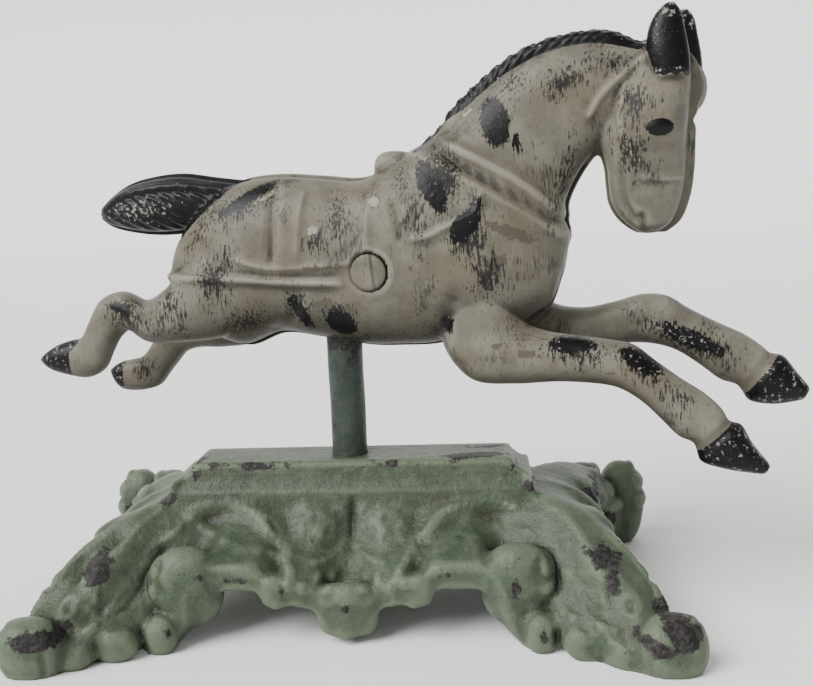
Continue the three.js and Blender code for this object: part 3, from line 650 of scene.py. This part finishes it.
# The dark coat that follows hollowness is grime and painted shade in the hollows; the pale coat on raised
# edges is a painted highlight.
WHITE_COATS = (
    ("coarse", 0.35, 0.65, 1.0, "#716d61"), ("wide", 0.45, 0.65, 0.5, "#635a48"),
    ("streaks", 0.5, 0.72, 0.3, "#45423c"), ("grime_shade_and_sheen", 0.12, 0.34, 0.85, "#26231f"),
    # The coat that follows the facing darkens every downward-facing surface: painted shade.
    ("hollow", -0.04, -0.2, 0.65, "#8a8578"), ("upward", 0.1, -0.8, 0.72, "#322f2a"),
    ("pits", 0.64, 0.67, 0.5, "#3d3b35"), ("scuffs", 1.2, 1.38, 0.7, "#2a2926"),
    ("stained", 1.5, 3.4, 0.6, "#6b5340"), ("broken", 1.44, 1.72, 0.92, "#131212"),
    ("chipped", 2.0, 2.35, 0.85, "#4c463b"), ("cleaned", 2.5, 3.3, 0.7, "#9d998e"),
)
# On the black, raised parts turn grey as a painted sheen; the rubbed coat is wear.
BLACK_COATS = (("rubbed", 0.67, 0.71, 0.9, "#85827b"), ("grime_shade_and_sheen", -0.02, -0.2, 0.25, "#2a2a2b"))

enamel, tree = new_material("worn white enamel on cast iron")
found = find_patterns(tree, ("hollow", "seam", "neat", "black", "dry", "chip", "fresh", "stain", "rub"),
                      HORSE_PATTERNS, HORSE_SUMS)
white = brush_coats(tree, found, "#5f5b50", WHITE_COATS)
black = brush_coats(tree, found, "#050506", BLACK_COATS)
torn = add_node(tree, "MapRange", {"Value": found["torn"], "From Min": 7.0, "From Max": 7.8})
edged = add_node(tree, "MapRange", {"Value": found["edged"], "From Min": 1.2, "From Max": 2.2})
blackened = add_node(tree, "Math", {0: torn, 1: edged}, operation="MAXIMUM")
colour = add_node(tree, "Mix", {0: blackened, 6: white, 7: black}, 2, data_type="RGBA")
# Painted shade in the joint: where the seam values run high, the groove and the joint face under neck and
# belly turn nearly black.
joint_painted_shade = {"Value": found["joint"], "From Min": 0.55, "From Max": 0.9, "To Max": 0.88}
closed = add_node(tree, "MapRange", joint_painted_shade)
colour = add_node(tree, "Mix", {0: closed, 6: colour, 7: linear("#1f1c19")}, 2, data_type="RGBA")
gloss = add_node(tree, "MapRange", {"Value": blackened, "To Min": 0.36, "To Max": 0.3})
gloss = add_node(tree, "Math", {0: found["coarse"], 1: 0.2, 2: gloss}, operation="MULTIPLY_ADD")
grain = {"Height": found["grain"], "Strength": 0.35, "Distance": 0.6 * MM}
relief = add_node(tree, "Bump", grain, "Normal")
finish = {"Base Color": colour, "Roughness": gloss, "Normal": relief, "Specular IOR Level": 0.22}
shader = add_node(tree, "BsdfPrincipled", finish)
add_node(tree, "OutputMaterial", {"Surface": shader})


def cut_at_joint(mesh, side, clear, closed=False):
    """Cuts a half off at the distance clear from the joint, and can close the cut with a flat face."""
    body = bmesh.new()
    body.from_mesh(mesh)
    cut = bmesh.ops.bisect_plane(body, geom=body.verts[:] + body.edges[:] + body.faces[:], dist=1e-5,
                                 plane_co=(0, side * clear, 0), plane_no=(0, side, 0), clear_inner=True)
    if closed:
        rim = [e for e in cut["geom_cut"] if isinstance(e, bmesh.types.BMEdge)]
        bmesh.ops.triangle_fill(body, use_beauty=True, edges=rim, normal=(0, -side, 0))
    body.to_mesh(mesh)
    body.free()


def horse_half(side):
    left = side > 0
    lip = LEFT_LIP if left else 0.0

    def stepped(stations, both):
        if not left:
            return stations
        step = EAR_STEP if both else FACE_STEP
        return [(s[0] + step, s[1], s[2] + (step if both else 0), *s[3:]) for s in stations]

    shells = [
        limb(TRUNK, side, lip=lip, sides=64, squareness=2.4),
        limb(NECK, side, lip=lip, sides=56, squareness=2.5),
        limb(stepped(HEAD, False), side, lip=lip, sides=56, squareness=2.7),
        limb(TAIL, side, lip=lip),
        limb(LEFT_FORELEG if left else RIGHT_FORELEG, side, lip=lip / 2),
        limb(LEFT_HIND_LEG if left else RIGHT_HIND_LEG, side),
        limb(stepped(RIGHT_EAR, True), side),
        limb(MANE, side, lip=lip / 2, steps=16, locks=MANE_LOCKS),
        egg(*POMMEL, boxy=0.7),
    ]
    if left:
        shells.append(egg(*FORELOCK))
    half = cast("horse_left" if left else "horse_right", shells, CASTING_VOXEL, CASTING_ROUNDING)
    mesh = half.data
    # Only what lies on this side of the joint is carved, and a little beyond it.
    cut_at_joint(mesh, side, -CARVED_BEYOND)
    points, normals = read_points(mesh)
    points = points + normals * horse_relief(points, side)[:, None]
    if not left:
        near_screw = np.hypot(points[:, 0] - SCREW["x"], points[:, 2] - SCREW["z"])
        seat = (near_screw < SCREW["radius"] + 0.5) & (points[:, 1] < SCREW["seat"])
        points[seat, 1] = SCREW["seat"]
    write_points(mesh, points)
    cut_at_joint(mesh, side, HALF_GAP, closed=True)
    points, _ = read_points(mesh)
    neat, marks, dry = painted_black(points, side)
    hollow_mm = hollowness(mesh)
    x, y, z = points.T
    # Painted shade fills the joint's groove, and lies thick on the joint face under the neck and belly.
    under_neck = ramp(x, 58, 62) * (1 - ramp(x, 86, 88)) * ramp(z, 104, 112) * (1 - ramp(z, 150, 154))
    under = np.maximum(under_neck, (x < 60) * (1 - ramp(z, 98, 104)))
    if left:
        seam = (0.16 + 0.62 * under) * bump(y - HALF_GAP, 0.6)
        hollow_mm = np.where(y < 0.6, 0.02, hollow_mm)
    else:
        seam = np.where(y < 0, bump(y + 0.2, 0.75), 0.2 + 0.5 * under)
    # Where hands and knocks have rubbed the black: ear tips, the tail's middle, hoof ends.
    rub = bump(z - 197.5, 4) * (x > 100) + 0.5 * bump(z - 178.5, 1.6) * (x > 100)
    rub += 0.9 * bump(x + 72, 14) * (x < -34) * (z > 130) * bump(z - 143, 4.5)
    rub += 0.45 * (z < 100) * (np.abs(x) > 88)
    fresh = np.where(np.abs(y) > 3, marks_field(x, z, FRESH), FAR_OUT)
    stain = np.where(np.abs(y) > 3, marks_field(x, z, STAINS), FAR_OUT)
    chip = np.where(np.abs(y) > 2.5, marks_field(x, z, CHIPS), FAR_OUT)
    for name, values in (("hollow", hollow_mm), ("seam", seam), ("neat", neat), ("black", marks),
                         ("dry", dry), ("rub", rub), ("fresh", fresh), ("stain", stain), ("chip", chip)):
        set_attribute(mesh, name, values)
    mesh.transform(HORSE_PLACE)
    shade_softly(mesh)
    mesh.materials.append(enamel)
    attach(half, "root")
    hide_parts("horse_left_half" if left else "horse_right_half")


# The joining screw, whose seat is sunk in the right half.
SCREW = {"x": 16.0, "z": 120.7, "radius": 6.0, "seat": -19.6, "face": -21.3, "slot": 1.0, "tilt": 0.1}
horse_half(-1)
horse_half(1)

# ---- Joining screw -----------------------------------------------------------
# A slotted steel screw with a flat round head, sunk in the right flank and
# painted over with the horse. Painted shade darkens its rim on the nose side,
# and its slot and side the deeper they lie.

SCREW_RINGS, SCREW_SIDES = 44, 120
rings = []
for k in range(SCREW_RINGS + 8):
    turn = np.arange(SCREW_SIDES) * 2 * math.pi / SCREW_SIDES
    r = SCREW["radius"] * min(k, SCREW_RINGS) / SCREW_RINGS + 0.02
    u, w = r * np.cos(turn), r * np.sin(turn)
    off = u * math.cos(SCREW["tilt"]) + w * math.sin(SCREW["tilt"])
    depth = 0.45 * (1 - ramp(np.abs(off - 1.6), SCREW["slot"] * 0.35, SCREW["slot"] * 0.6))
    depth = depth + 0.5 * (k / SCREW_RINGS) ** 10 + max(0, k - SCREW_RINGS) * 0.3
    rings.append(np.column_stack([SCREW["x"] + u, SCREW["face"] + depth, SCREW["z"] + w]))
screw = new_object("joining_screw_head", *closed_skin(np.array(rings)))
face_outward(screw.data)
points, _ = read_points(screw.data)
edge = np.hypot(points[:, 0] - SCREW["x"], points[:, 2] - SCREW["z"])
# Painted shade: the rim darkened on its nose side alone, and the slot and side darker the deeper they lie.
rim_painted_shade = 0.22 * ramp(edge, 5.4, 6.0) * ramp(points[:, 0], 14, 20)
slot_painted_shade = 0.12 * ramp(points[:, 1], SCREW["face"] + 0.2, SCREW["face"] + 0.6)
set_attribute(screw.data, "hollow", rim_painted_shade + slot_painted_shade)
for name in ("neat", "black", "dry", "chip", "fresh", "stain"):
    set_attribute(screw.data, name, np.full(len(points), FAR_OUT))
screw.data.transform(HORSE_PLACE)
shade_softly(screw.data)
screw.data.materials.append(enamel)
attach(screw, "root")
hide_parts("joining_screw")

# ---- Stand -------------------------------------------------------------------
# One hollow iron casting: a stepped plate over four splayed legs, with flared
# aprons between them. Leaf scrolls and two roses are cast on each long side.
# Its own frame is centred on the plate, long side along X, in millimetres.

STAND_OFFSET = 1.2
PLATE_TOP, PLATE_THICK = 54.5, 6.0
PLATE = {"length": 112.0, "width": 21.0, "edge": 1.6}
LEDGE = {"length": 126.0, "width": 30.0, "top": 46.0, "bottom": 41.5, "end_rise": 3.5}
FEET = {"length": 217.0, "width": 123.0}
APRON_REACH, END_REACH = 38.0, 87.0
APRON_EDGE, END_EDGE = 18.5, 24.0
WALL, RIM, SPREAD, FOOT_TRIM, CORNER_DRAW = 4.5, 8.0, 0.85, 1.0, 0.045
LONG_COLUMNS, END_COLUMNS = 150, 70
STAND_VOXEL, STAND_ROUNDING = 1.0, 12


def lerp(a, b, t):
    return a + (b - a) * t


def apron_edge(x):
    u = abs(x)
    apron = APRON_EDGE - 17 * bump(u, 10.5) - 3.5 * bump(u - 15, 4) - 6 * bump(u - 23, 4.5)
    leg = 2.6 * bump(u - 73, 6) + 1.8 * bump(u - 82.5, 1.6)
    return lerp(apron, leg, ramp(u, 44, 61))


def end_edge(y):
    u = abs(y) / (FEET["width"] / 2)
    return END_EDGE * (1 - ramp(u, 0.45, 0.95)) - 3 * bump(u, 0.2)


def long_side_carving(x, z):
    u = abs(x)
    plume = 1.2 * bump(z - (42.5 - 0.022 * (u - 47) ** 2), 2.4) * ramp(u, 10, 18) * (1 - ramp(u, 52, 60))
    stem = 0.9 * bump(z - (23 + 0.2 * (u - 14)), 2.2) * ramp(u, 8, 14) * (1 - ramp(u, 56, 68))
    rose = 1.5 * bump(np.hypot(u - 11, (z - 35.5) * 1.1), 6)
    crease = -0.6 * bump(u, 1.5) * bump(z - 35, 7)
    fronds = 1.4 * bump(z - 24, 4) * bump(u, 16)
    pendant = 2.4 * bump(u, 7) * bump(z - 10, 8)
    roll = 3 * bump(u - 23, 4) * (1 - ramp(z, 19, 25))
    volute = 3.4 * bump(np.hypot(u - 53.5, (z - 19) * 0.9), 9)
    shoulder = 3 * bump(np.hypot(u - 81, z - 27), 8)
    hollow = -1.2 * bump(np.hypot(u - 68, z - 17), 7)
    return plume + stem + rose + crease + fronds + pendant + roll + volute + shoulder + hollow


def end_carving(y, z):
    u = abs(y)
    curl = 2.2 * bump(np.hypot(u - 17, z - 34), 6)
    stem = 2 * bump(u, 3) * bump(z - 34, 10)
    return curl + stem - 1.2 * bump(u - 8, 3) * bump(z - 32, 6)


SHELL_STEPS = [k / 24 for k in range(1, 25)]


def stand_column(long, t, sign):
    away = abs(t)

    def pick(along, across, z):
        return np.array((along, sign * across, z) if long else (sign * along, across, z))

    spread = t * (1 + SPREAD * (1 - away))

    def frame_point(part, z, grow=0.0):
        if long:
            return pick(spread * (part["length"] / 2 + grow), part["width"] / 2 + grow, z)
        return pick(part["length"] / 2 + grow, spread * (part["width"] / 2 + grow), z)

    rise = LEDGE["end_rise"] * (ramp(away, 0.97, 1) if long else 1.0)
    points = [
        frame_point(PLATE, PLATE_TOP), frame_point(PLATE, PLATE_TOP - PLATE["edge"], 0.3),
        frame_point(LEDGE, LEDGE["top"] + 2 + rise / 2, -3), frame_point(LEDGE, LEDGE["top"] + rise, -1.2),
        frame_point(LEDGE, LEDGE["top"] - 1.2 + rise), frame_point(LEDGE, LEDGE["bottom"] + rise / 2),
    ]
    top = points[-1]
    along = FEET["length"] / 2 * t if long else lerp(END_REACH, FEET["length"] / 2, ramp(away, 0.3, 1))
    across = lerp(APRON_REACH, FEET["width"] / 2, ramp(away, 0.4, 1)) if long else FEET["width"] / 2 * t
    edge = apron_edge(along) if long else end_edge(across)
    drawn = 1 - CORNER_DRAW * bump(1 - away, 0.06)
    low = pick(along * drawn, across * drawn, -FOOT_TRIM if edge < 0.5 else edge)
    crest = ramp(away, 0.5, 1) if long else 1.0
    rear = (sign + 1) / 2 if long else ramp(t, -1, 1)
    nose = (t + 1) / 2 if long else (sign + 1) / 2
    plain, shell = [], []
    for v in SHELL_STEPS:
        p = lerp(top, low, lerp(v ** 1.35, v ** lerp(1.12, 0.86, nose), crest))
        p[2] = lerp(top[2], low[2] + RIM, lerp(v ** 0.9, v ** lerp(1.2, 2.3, rear), crest))
        plain.append(p.copy())
        height = (long_side_carving(p[0], p[2]) if long else end_carving(p[1], p[2])) * ramp(v, 0, 0.14)
        out = np.array((0, sign, 0.5) if long else (sign, 0, 0.7))
        shell.append(p + out / np.linalg.norm(out) * height)
    points += shell
    rim = shell[-1].copy()
    rim[2] = low[2]
    points.append(rim)

    def inner(p, v, z, wall):
        return np.array((p[0] * (1 - 1.2 * wall / lerp(LEDGE["length"] / 2, END_REACH, v ** 0.9)),
                         p[1] * (1 - wall / lerp(LEDGE["width"] / 2, APRON_REACH, v ** 1.35)), z))

    points.append(inner(rim, 1, rim[2], WALL))
    points.append(inner(plain[-1], 1, plain[-1][2] - 2, WALL))
    for k in (15, 7):
        points.append(inner(plain[k], SHELL_STEPS[k], plain[k][2] - 4, WALL + 1))
    roof = inner(top, 0, PLATE_TOP - PLATE_THICK - 9, WALL + 2)
    points += [roof, np.array((roof[0] * 0.8, roof[1] * 0.7, PLATE_TOP - PLATE_THICK))]
    return np.array(points)


columns = []
for side in range(4):
    long = side % 2 == 0
    count = LONG_COLUMNS if long else END_COLUMNS
    for i in range(count):
        t = (2 * i / count - 1) * (1 if side < 2 else -1)
        columns.append(stand_column(long, t, -1 if side in (0, 3) else 1))
shells = [closed_skin(np.array(columns).transpose(1, 0, 2))]
# Lumps on every leg, then those of the front or the back only: centre, half sizes.
LUMP_SHIFT = 1.5
LEG_LUMPS = [((62, 42, 5.5), (5.4, 4.8, 7)), ((55, 33.5, 18.5), (12.5, 8, 14))]
FRONT_LUMPS = [((100, 55, 7), (11, 7.5, 11)), ((88, 52, 4), (6.5, 5, 5.5)), ((76, 47.5, 5), (8, 4.2, 6))]
REAR_LUMPS = [((100.5, 53.5, 16), (9.5, 8.5, 18)), ((84, 45, 29), (7.5, 6, 7))]
for sx in (-1, 1):
    for sy in (-1, 1):
        for centre, radii in LEG_LUMPS + (FRONT_LUMPS if sy < 0 else REAR_LUMPS):
            shells.append(egg((sx * centre[0] + LUMP_SHIFT, sy * centre[1], centre[2]), radii, boxy=0.88))
# Rolls and the pendant of each apron.
APRON_LUMPS = [((-23.5, 36.5, 18.5), (4.6, 4.0, 5.6)), ((24.5, 36.5, 18.5), (4.6, 4.0, 5.6)),
               ((0.5, 36.5, 11.5), (10.5, 3.2, 9.5))]
for sy in (-1, 1):
    for centre, radii in APRON_LUMPS:
        shells.append(egg((centre[0], sy * centre[1], centre[2]), radii, boxy=0.62))
stand = cast("stand", shells, STAND_VOXEL, STAND_ROUNDING)

# Ribbed leaf scrolls, petals and curls that the mould left soft. Each curve is
# given for one side and mirrored: x, z.
PLUME = [(19, 27.5), (24, 32), (29, 36.2), (34, 39), (41, 40.6), (48, 40.8), (54, 39.4), (58, 36.5)]
UNDER_RIDGE = [(16, 24.5), (21, 26.2), (27, 28.2), (34, 30), (42, 31.5), (51, 33.4), (57, 36.5)]
PLUME_HOLLOW = [(25, 29.8), (31, 33.6), (38, 35.6), (46, 36.4), (53, 36.4)]
GARLAND = [(24, 29), (17, 26.6), (10, 25.2), (5, 26.2), (1.5, 29)]
PENDANT_EDGE = [(15, 21), (10, 17), (6, 14.5), (2, 17.5)]
LEG_RIDGE = [(58, 35.5), (64, 31.5), (70, 30.5), (76, 33)]
VALLEY = [(62, 30), (65.5, 25), (69, 20), (75, 16.5), (81, 15)]
FLOOR_EDGE = [(67, 12.5), (74, 13), (80, 12), (86, 11)]
MOTIF_SHIFT = 0.8
PETALS = [
    (4.2, 38.0, 2.8), (7.2, 33.6, 2.8), (11.8, 31.6, 2.6), (11.5, 37.2, 3.4), (16.6, 38.8, 2.6),
    (17.2, 33.8, 2.4),
]
FROND_TIPS = [(19, 21), (14.5, 19.5), (10, 21.5), (5.5, 20.5)]
RING_SCROLL = (89.5, 17.5, 2.5)
RIM_NOTCHES = (67.5, 80.5, 92.5)
RELIEF_LIMITS = (-2.0, 3.0)
# What lies lower than this is filed flat to stand on the table.
ON_FLOOR = 0.35


def stand_relief(points, normals):
    x, y, z = points.T
    u = np.abs(x - MOTIF_SHIFT)
    front = ramp(np.abs(normals[:, 1]), 0.25, 0.5) * (z < 43) * ramp(np.abs(y), 12, 15) * (z > 0.5)
    outside = ramp((normals[:, :2] * points[:, :2]).sum(1), 0.0, 2.0)
    height = np.zeros(len(x))

    def roll(path, width, tall, ribs=0.0, pitch=2.6):
        near, along, side = from_path(u, z, path)
        span = np.linalg.norm(np.diff(curve_through(path, 60), axis=0), axis=1).sum()
        ends = ramp(along, -0.02, 0.06) * (1 - ramp(along, 0.94, 1.02))
        ribbed = 1 + ribs * np.sin(2 * math.pi * (along * span - 0.5 * side) / pitch)
        return tall * bump(near, width) * ends * ribbed

    height += roll(PLUME, 2.0, 0.8, 0.3) + roll(UNDER_RIDGE, 1.0, 0.7) - roll(PLUME_HOLLOW, 2.0, 0.4)
    height += roll(GARLAND, 1.2, 0.6, 0.2, 3.2) + roll(PENDANT_EDGE, 1.1, 0.4)
    height += roll(LEG_RIDGE, 1.5, 0.8) - roll(VALLEY, 3.0, 0.7) + roll(FLOOR_EDGE, 1.2, 0.8)
    for px, pz, size in PETALS:
        petal = np.hypot(u - px, z - pz)
        height += 0.9 * bump(petal, size) - 0.7 * bump(np.hypot(u - px - 0.6, z - pz + 0.8), size * 0.35)
    height -= 0.8 * bump(u, 1.0) * ramp(z, 28, 32)
    for px, pz in FROND_TIPS:
        height += 1.0 * bump(np.hypot((u - px) * 1.2, z - pz), 1.7)
    height += 1.4 * bump(np.hypot(u, z - 16.5), 3.2)
    ring = np.hypot(u - RING_SCROLL[0], z - RING_SCROLL[1])
    height += 0.4 * bump(ring - RING_SCROLL[2], 1.0) - 0.3 * bump(ring, 1.2)
    # Notches in the rim between its lobes.
    for notch in RIM_NOTCHES:
        height -= 1.2 * bump(u - notch, 1.1) * (1 - ramp(z, 8, 11))
    height += 0.35 * np.sin(x / 3.1 + z / 2.3) * np.sin(z / 3.7 - x / 5.3) * ramp(u, 56, 62)
    end = ramp(np.abs(normals[:, 0]), 0.3, 0.6) * (u > 63) * (z < 46)
    w = np.abs(y)
    end_curl = np.hypot(w - 16, z - 32)
    end_height = 1.3 * bump(end_curl - 5, 1.4) + 1.0 * bump(end_curl, 1.8)
    end_height += 0.9 * bump(w, 2.0) * ramp(z, 20, 25)
    end_height += 0.8 * bump(np.hypot(w - 30, z - 24) - 4, 1.4)
    end_height += 1.3 * np.abs(np.sin(z * 0.42)) * ramp(w, 34, 40) * ramp(z, 12, 16)
    return outside * (front * height * (1 - end) + end * end_height)


points, normals = read_points(stand.data)
points = points + normals * np.clip(stand_relief(points, normals), *RELIEF_LIMITS)[:, None]
points[:, 2] = np.where(points[:, 2] < ON_FLOOR, 0.0, points[:, 2])
write_points(stand.data, points)
hollow_mm = hollowness(stand.data)
set_attribute(stand.data, "hollow", hollow_mm)
# Places where the enamel has gone and pitted iron shows: x, z, half sizes, turn.
BARE_FRONT = [
    (-81.5, 26.5, 5.0, 4.5, 0), (-94.0, 12.5, 9.0, 3.2, 0), (83.0, 29.0, 6.0, 2.8, -20),
    (85.5, 24.0, 2.4, 4.0, 0), (103.5, 14.0, 7.0, 4.5, -30), (95.0, 10.5, 5.5, 2.6, -15),
    (55.4, 20.5, 2.2, 3.2, 0), (63.7, 6.5, 1.6, 2.8, 0), (0.0, 13.4, 1.9, 1.5, 0),
    (-63.5, 43.0, 3.0, 2.6, 0), (-38.0, 53.2, 17.0, 1.3, 0), (-54.0, 50.5, 1.8, 2.6, 0),
    (18.0, 54.0, 5.5, 0.7, 0), (42.0, 54.0, 12.0, 0.9, 0), (36.5, 51.8, 0.8, 0.8, 0),
    (56.5, 52.0, 1.6, 2.6, 0), (61.5, 45.5, 2.6, 2.0, 0), (-20.0, 20.0, 1.0, 3.0, 0),
    (-36.0, 22.5, 2.6, 1.0, 0), (33.0, 24.0, 2.6, 1.2, 0), (-48.0, 24.5, 1.4, 0.8, 0),
    (-57.0, 8.0, 1.2, 1.8, 0),
]
BARE_BACK = [
    (-70.0, 25.0, 6.0, 4.0, 0), (30.0, 38.0, 5.0, 2.5, 0), (92.0, 14.0, 7.0, 5.0, 0),
    (-98.0, 16.0, 6.0, 6.0, 0), (20.0, 53.6, 14.0, 1.0, 0), (-46.0, 53.6, 8.0, 1.0, 0),
    (84.0, 33.0, 6.0, 3.0, 0),
]
BARE_PLATE = [
    (-36.0, -10.4, 16.0, 1.1, 0), (44.0, -6.5, 12.0, 3.6, 6), (48.0, 4.0, 8.0, 2.0, 0),
    (16.0, -10.4, 6.0, 0.8, 0), (-54.0, -6.0, 1.6, 5.0, 0), (-20.0, 10.2, 10.0, 1.0, 0),
]
bare = np.where(points[:, 1] < 0, marks_field(points[:, 0], points[:, 2], BARE_FRONT),
                marks_field(points[:, 0], points[:, 2], BARE_BACK))
on_plate = points[:, 2] > 52
bare = np.where(on_plate, marks_field(points[:, 0], points[:, 1], BARE_PLATE), bare)
set_attribute(stand.data, "bare", bare)
stand.data.transform(Matrix.Translation(rod_axis + Vector((STAND_OFFSET * MM, 0, 0))) @ Matrix.Scale(MM, 4))
shade_softly(stand.data)


# Green oil enamel over iron: brush-soft gloss, olive dust with grime and painted
# shade in the hollows, paler ridges that are part rubbed paint and part painted
# highlight, painted shade on downward faces, and chips down to brown-grey pitted metal.
GREEN_PATTERNS = {
    "fine": (0.9, 3.0, 0.6, EVEN), "wide": (14.0, 3.0, 0.55, EVEN), "patches": (3.5, 3.0, 0.55, EVEN),
    "dust": (6.0, 5.0, 0.65, EVEN), "pits": (1.9, 3.0, 0.7, EVEN), "chips": (4.0, 4.0, 0.65, EVEN),
    "rust": (1.4, 3.0, 0.7, EVEN), "sand": (3.2, 3.0, 0.55, EVEN),
    "brush": (2.0, 3.0, 0.6, (0.12, 0.6, 1.4)),
}
GREEN_SUMS = {
    "sunk": (("hollow", 1.0), ("fine", 0.3)),
    "raised": (("hollow", -1.0), ("fine", 0.12)),
    "torn": (("bare", 1.0), ("chips", 6.0), ("fine", 2.0)),
    "grain": (("fine", 0.6), ("sand", 1.1), ("brush", 0.5)),
}
IRON_COATS = (("rust", 0.4, 0.7, 1.0, "#3d3937"), ("dust", 0.5, 0.7, 0.5, "#484340"))


def green_coats(dark, pale, grime_and_shade):
    """Coats over the middle green: darker clouds, paler ridges (rubbed paint and painted highlight), dust,
    grime and painted shade in the hollows, painted shade on downward faces, and pits.
    """
    return (
        ("wide", 0.35, 0.65, 1.0, dark), ("patches", 0.4, 0.7, 0.4, pale), ("brush", 0.5, 0.72, 0.35, dark),
        ("dust", 0.5, 0.72, 0.35, "#4c4a36"), ("sunk", 0.16, 0.34, 0.5, "#3b3d29"),
        # The pale coat on raised ridges is part rubbed paint and part painted highlight; the dark hollow
        # coat is grime and painted shade; the coat that follows the facing is painted shade on downward
        # faces.
        ("raised", 0.1, 0.3, 0.75, pale),
        ("sunk", 0.26, 0.52, grime_and_shade, "#171b15"), ("upward", -0.2, -0.9, 0.4, "#2c332a"),
        ("pits", 0.66, 0.7, 0.75, "#1a1d19"),
    )


def green_enamel(name, ground, coats):
    material, tree = new_material(name)
    found = find_patterns(tree, ("hollow", "bare"), GREEN_PATTERNS, GREEN_SUMS)
    paint = brush_coats(tree, found, ground, coats)
    iron = brush_coats(tree, found, "#191818", IRON_COATS)
    bared = add_node(tree, "MapRange", {"Value": found["torn"], "From Min": 3.9, "From Max": 4.6})
    colour = add_node(tree, "Mix", {0: bared, 6: paint, 7: iron}, 2, data_type="RGBA")
    gloss = add_node(tree, "MapRange", {"Value": bared, "To Min": 0.36, "To Max": 0.52})
    gloss = add_node(tree, "Math", {0: found["fine"], 1: 0.12, 2: gloss}, operation="MULTIPLY_ADD")
    height = add_node(tree, "Math", {0: bared, 1: -0.4, 2: found["grain"]}, operation="MULTIPLY_ADD")
    relief = add_node(tree, "Bump", {"Height": height, "Strength": 0.5, "Distance": 0.8 * MM}, "Normal")
    finish = {"Base Color": colour, "Roughness": gloss, "Normal": relief, "Specular IOR Level": 0.25}
    shader = add_node(tree, "BsdfPrincipled", finish)
    add_node(tree, "OutputMaterial", {"Surface": shader})
    return material


stand.data.materials.append(green_enamel(
    "chipped green enamel on cast iron", "#475142", green_coats("#3b4537", "#616c58", 0.8)))
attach(stand, "root")
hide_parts("base")

# ---- Rod ---------------------------------------------------------------------
# Half-inch round steel bar from the plate up into the belly, painted green with
# the stand and chipped where the castings were fitted over it.

ROD = {"radius": 6.35, "low": 48.5, "high": 112.0, "sides": 96, "rings": 130}
turn = np.arange(ROD["sides"]) * 2 * math.pi / ROD["sides"]
rings = []
for z in np.linspace(ROD["low"], ROD["high"], ROD["rings"]):
    r = ROD["radius"] - 0.12 + 0.06 * np.sin(turn * 3 + z / 9) + 0.05 * np.sin(turn * 5 - z / 4)
    collar = 0.5 * bump(z - 53.6, 1.4)
    reach = r + collar
    rings.append(np.column_stack([reach * np.cos(turn), reach * np.sin(turn), np.full(len(turn), z)]))
rod = new_object("rod", *closed_skin(np.array(rings)))
face_outward(rod.data)
points, _ = read_points(rod.data)
angle = np.degrees(np.arctan2(points[:, 1], points[:, 0]))
arc = np.radians((angle + 90 + 180) % 360 - 180) * ROD["radius"]
ROD_CHIPS = [
    (-2.0, 86.4, 0.8, 1.0, 0), (-2.2, 82.0, 0.7, 0.8, 0), (-3.0, 75.0, 0.6, 0.6, 0),
    (3.4, 88.5, 2.2, 1.6, 0), (4.4, 91.0, 1.4, 2.0, 0), (-4.6, 66.0, 0.5, 1.6, 0),
    (12.0, 80.0, 2.0, 3.0, 0), (-12.0, 70.0, 2.0, 2.0, 0),
]
chipped = np.maximum(marks_field(arc, points[:, 2], ROD_CHIPS), points[:, 2] - 92.3)
set_attribute(rod.data, "bare", chipped)
# Painted shade: a thin dark band on the rod just over the plate's collar, and a wider one just under the
# belly.
foot_painted_shade = 0.25 * bump(points[:, 2] - 55.0, 0.8)
belly_painted_shade = 0.25 * bump(points[:, 2] - 94, 2.5)
set_attribute(rod.data, "hollow", foot_painted_shade + belly_painted_shade)
rod.data.transform(Matrix.Translation(rod_axis) @ Matrix.Scale(MM, 4))
shade_softly(rod.data)
rod.data.materials.append(green_enamel(
    "chipped green enamel on steel bar", "#353f38", green_coats("#2a332d", "#455146", 0.7)))
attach(rod, "root")
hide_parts("pole")
